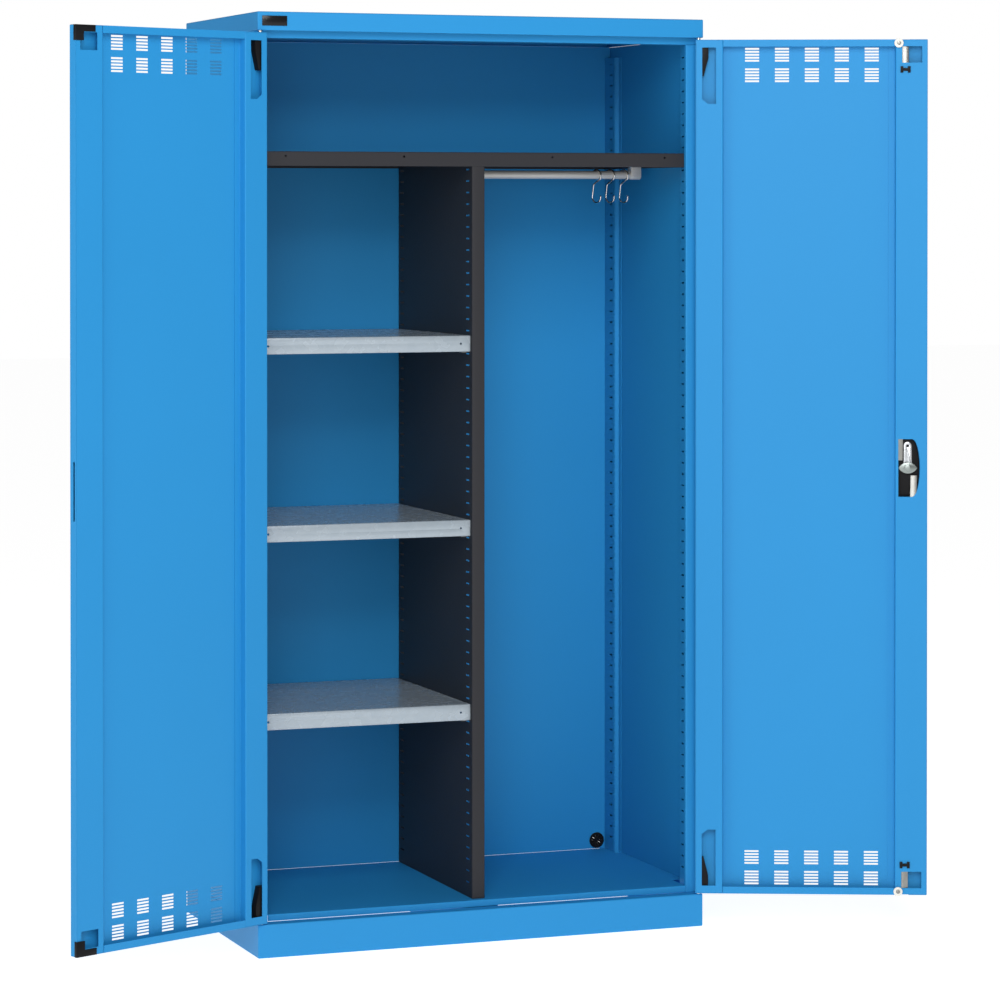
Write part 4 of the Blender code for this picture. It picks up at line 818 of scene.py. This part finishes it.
class LOCKER_OT_clips(bpy.types.Operator):
    """Build the clips that hang in the slots and carry the shelves"""

    bl_idname = "locker.clips"
    bl_label = "Shelf Clips"

    def execute(self, context):
        for node in SHELVES:
            low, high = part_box(node)
            rear = low.y + (high.y - low.y) * REAR_CLIP
            for end, x, inward in (("left", low.x, 1), ("right", high.x, -1)):
                for place, y in (("front", FRONT_SLOT_Y), ("rear", rear)):
                    self.clip(f"{node}_{end}_{place}_clip", x, inward, y, low.z)
        return {"FINISHED"}

    def clip(self, name, x, inward, y, z):
        """An angle of zinc-plated sheet: a leg against the shelf's end wall and a foot under the shelf."""
        start = x + inward * (CLIP_THICK / 2 + CLIP_GAP)
        under = z - CLIP_DROP
        line = bent([(start, z + CLIP_LEG), (start, under), (start + inward * CLIP_FOOT, under)], CLIP_BEND)
        bm = bmesh.new()
        near, far = ([bm.verts.new((p.x, side, p.y)) for p in line]
                     for side in (y - CLIP_HALF_WIDTH, y + CLIP_HALF_WIDTH))
        for i in range(len(line) - 1):
            bm.faces.new((near[i], near[i + 1], far[i + 1], far[i]))
        piece = add_piece(name, new_mesh(name, bm), "zinc")
        thicken(piece, CLIP_THICK)
        bevel(piece, CLIP_EDGE, SHARP_BEND)
        apply_modifiers(piece)
        smooth(piece.data)
        settle(piece, "cabinet", "galvanised_steel")


class LOCKER_OT_hooks(bpy.types.Operator):
    """Build the wire hooks on the clothes rail"""

    bl_idname = "locker.hooks"
    bl_label = "Hooks"

    def execute(self, context):
        sizes = context.scene.locker_sizes
        for key in ("left", "middle", "right"):
            self.hook(key, sizes)
        return {"FINISHED"}

    def hook(self, key, sizes):
        """One hook: a loop over the rail, a neck, a straight shank and a cup."""
        node = f"{key}_hook"
        rail_low, rail_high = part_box("clothes_rail")
        centre = (rail_low + rail_high) / 2
        centre.x = next(j["pos_m"][0] for j in frame["joints"] if j["child"] == f"{node}_body")
        radius = sizes.wire / 2
        points = hook_line((rail_high.z - rail_low.z) / 2 + radius)
        curve = bpy.data.curves.new(f"{node}_wire", "CURVE")
        curve.dimensions = "3D"
        curve.bevel_depth = radius
        curve.bevel_resolution = WIRE_ROUNDNESS
        curve.use_fill_caps = True
        spline = curve.splines.new("POLY")
        spline.points.add(len(points) - 1)
        spline.use_smooth = True
        towards = Vector((math.sin(sizes.hook_turn), -math.cos(sizes.hook_turn), 0.0))
        for target, (forward, up) in zip(spline.points, points):
            target.co = (*(centre + towards * forward + Vector((0.0, 0.0, up))), 1.0)
        for end in (spline.points[0], spline.points[-1]):
            end.radius = HOOK_TIP
        piece = add_piece(f"{node}_wire", curve, "bright")
        settle(piece, f"{key}_hook_body", "bright_steel", node)


class LOCKER_PT_panel(bpy.types.Panel):
    """The pieces of the locker cabinet"""

    bl_idname = "LOCKER_PT_panel"
    bl_label = "Locker Cabinet"
    bl_space_type = "VIEW_3D"
    bl_region_type = "UI"
    bl_category = "Locker"

    def draw(self, context):
        layout = self.layout
        for operator in OPERATORS:
            layout.operator(operator.bl_idname)
        for group in GROUPS:
            box = layout.box()
            values = getattr(context.scene, group)
            for key in values.__annotations__:
                box.prop(values, key)


OPERATORS = (LOCKER_OT_stage, LOCKER_OT_carried, LOCKER_OT_solid_pieces, LOCKER_OT_uprights,
             LOCKER_OT_partition, LOCKER_OT_shelves, LOCKER_OT_clips, LOCKER_OT_hooks)
GROUPS = {"locker_sizes": LOCKER_PG_sizes, "locker_colours": LOCKER_PG_colours,
          "locker_stage": LOCKER_PG_stage}


def register():
    """Add the operators, the panel and the properties to Blender."""
    for cls in (*GROUPS.values(), *OPERATORS, LOCKER_PT_panel):
        bpy.utils.register_class(cls)
    for name, group in GROUPS.items():
        setattr(bpy.types.Scene, name, PointerProperty(type=group))


def unregister():
    """Take them away again."""
    for name in GROUPS:
        delattr(bpy.types.Scene, name)
    for cls in (LOCKER_PT_panel, *reversed(OPERATORS), *reversed(list(GROUPS.values()))):
        bpy.utils.unregister_class(cls)


def main():
    """Build the looks in order."""
    register()
    bpy.ops.locker.stage()
    bpy.ops.locker.carried()
    bpy.ops.locker.solid_pieces()
    bpy.ops.locker.uprights()
    bpy.ops.locker.partition()
    bpy.ops.locker.shelves()
    bpy.ops.locker.clips()
    bpy.ops.locker.hooks()


if __name__ == "__main__":
    main()
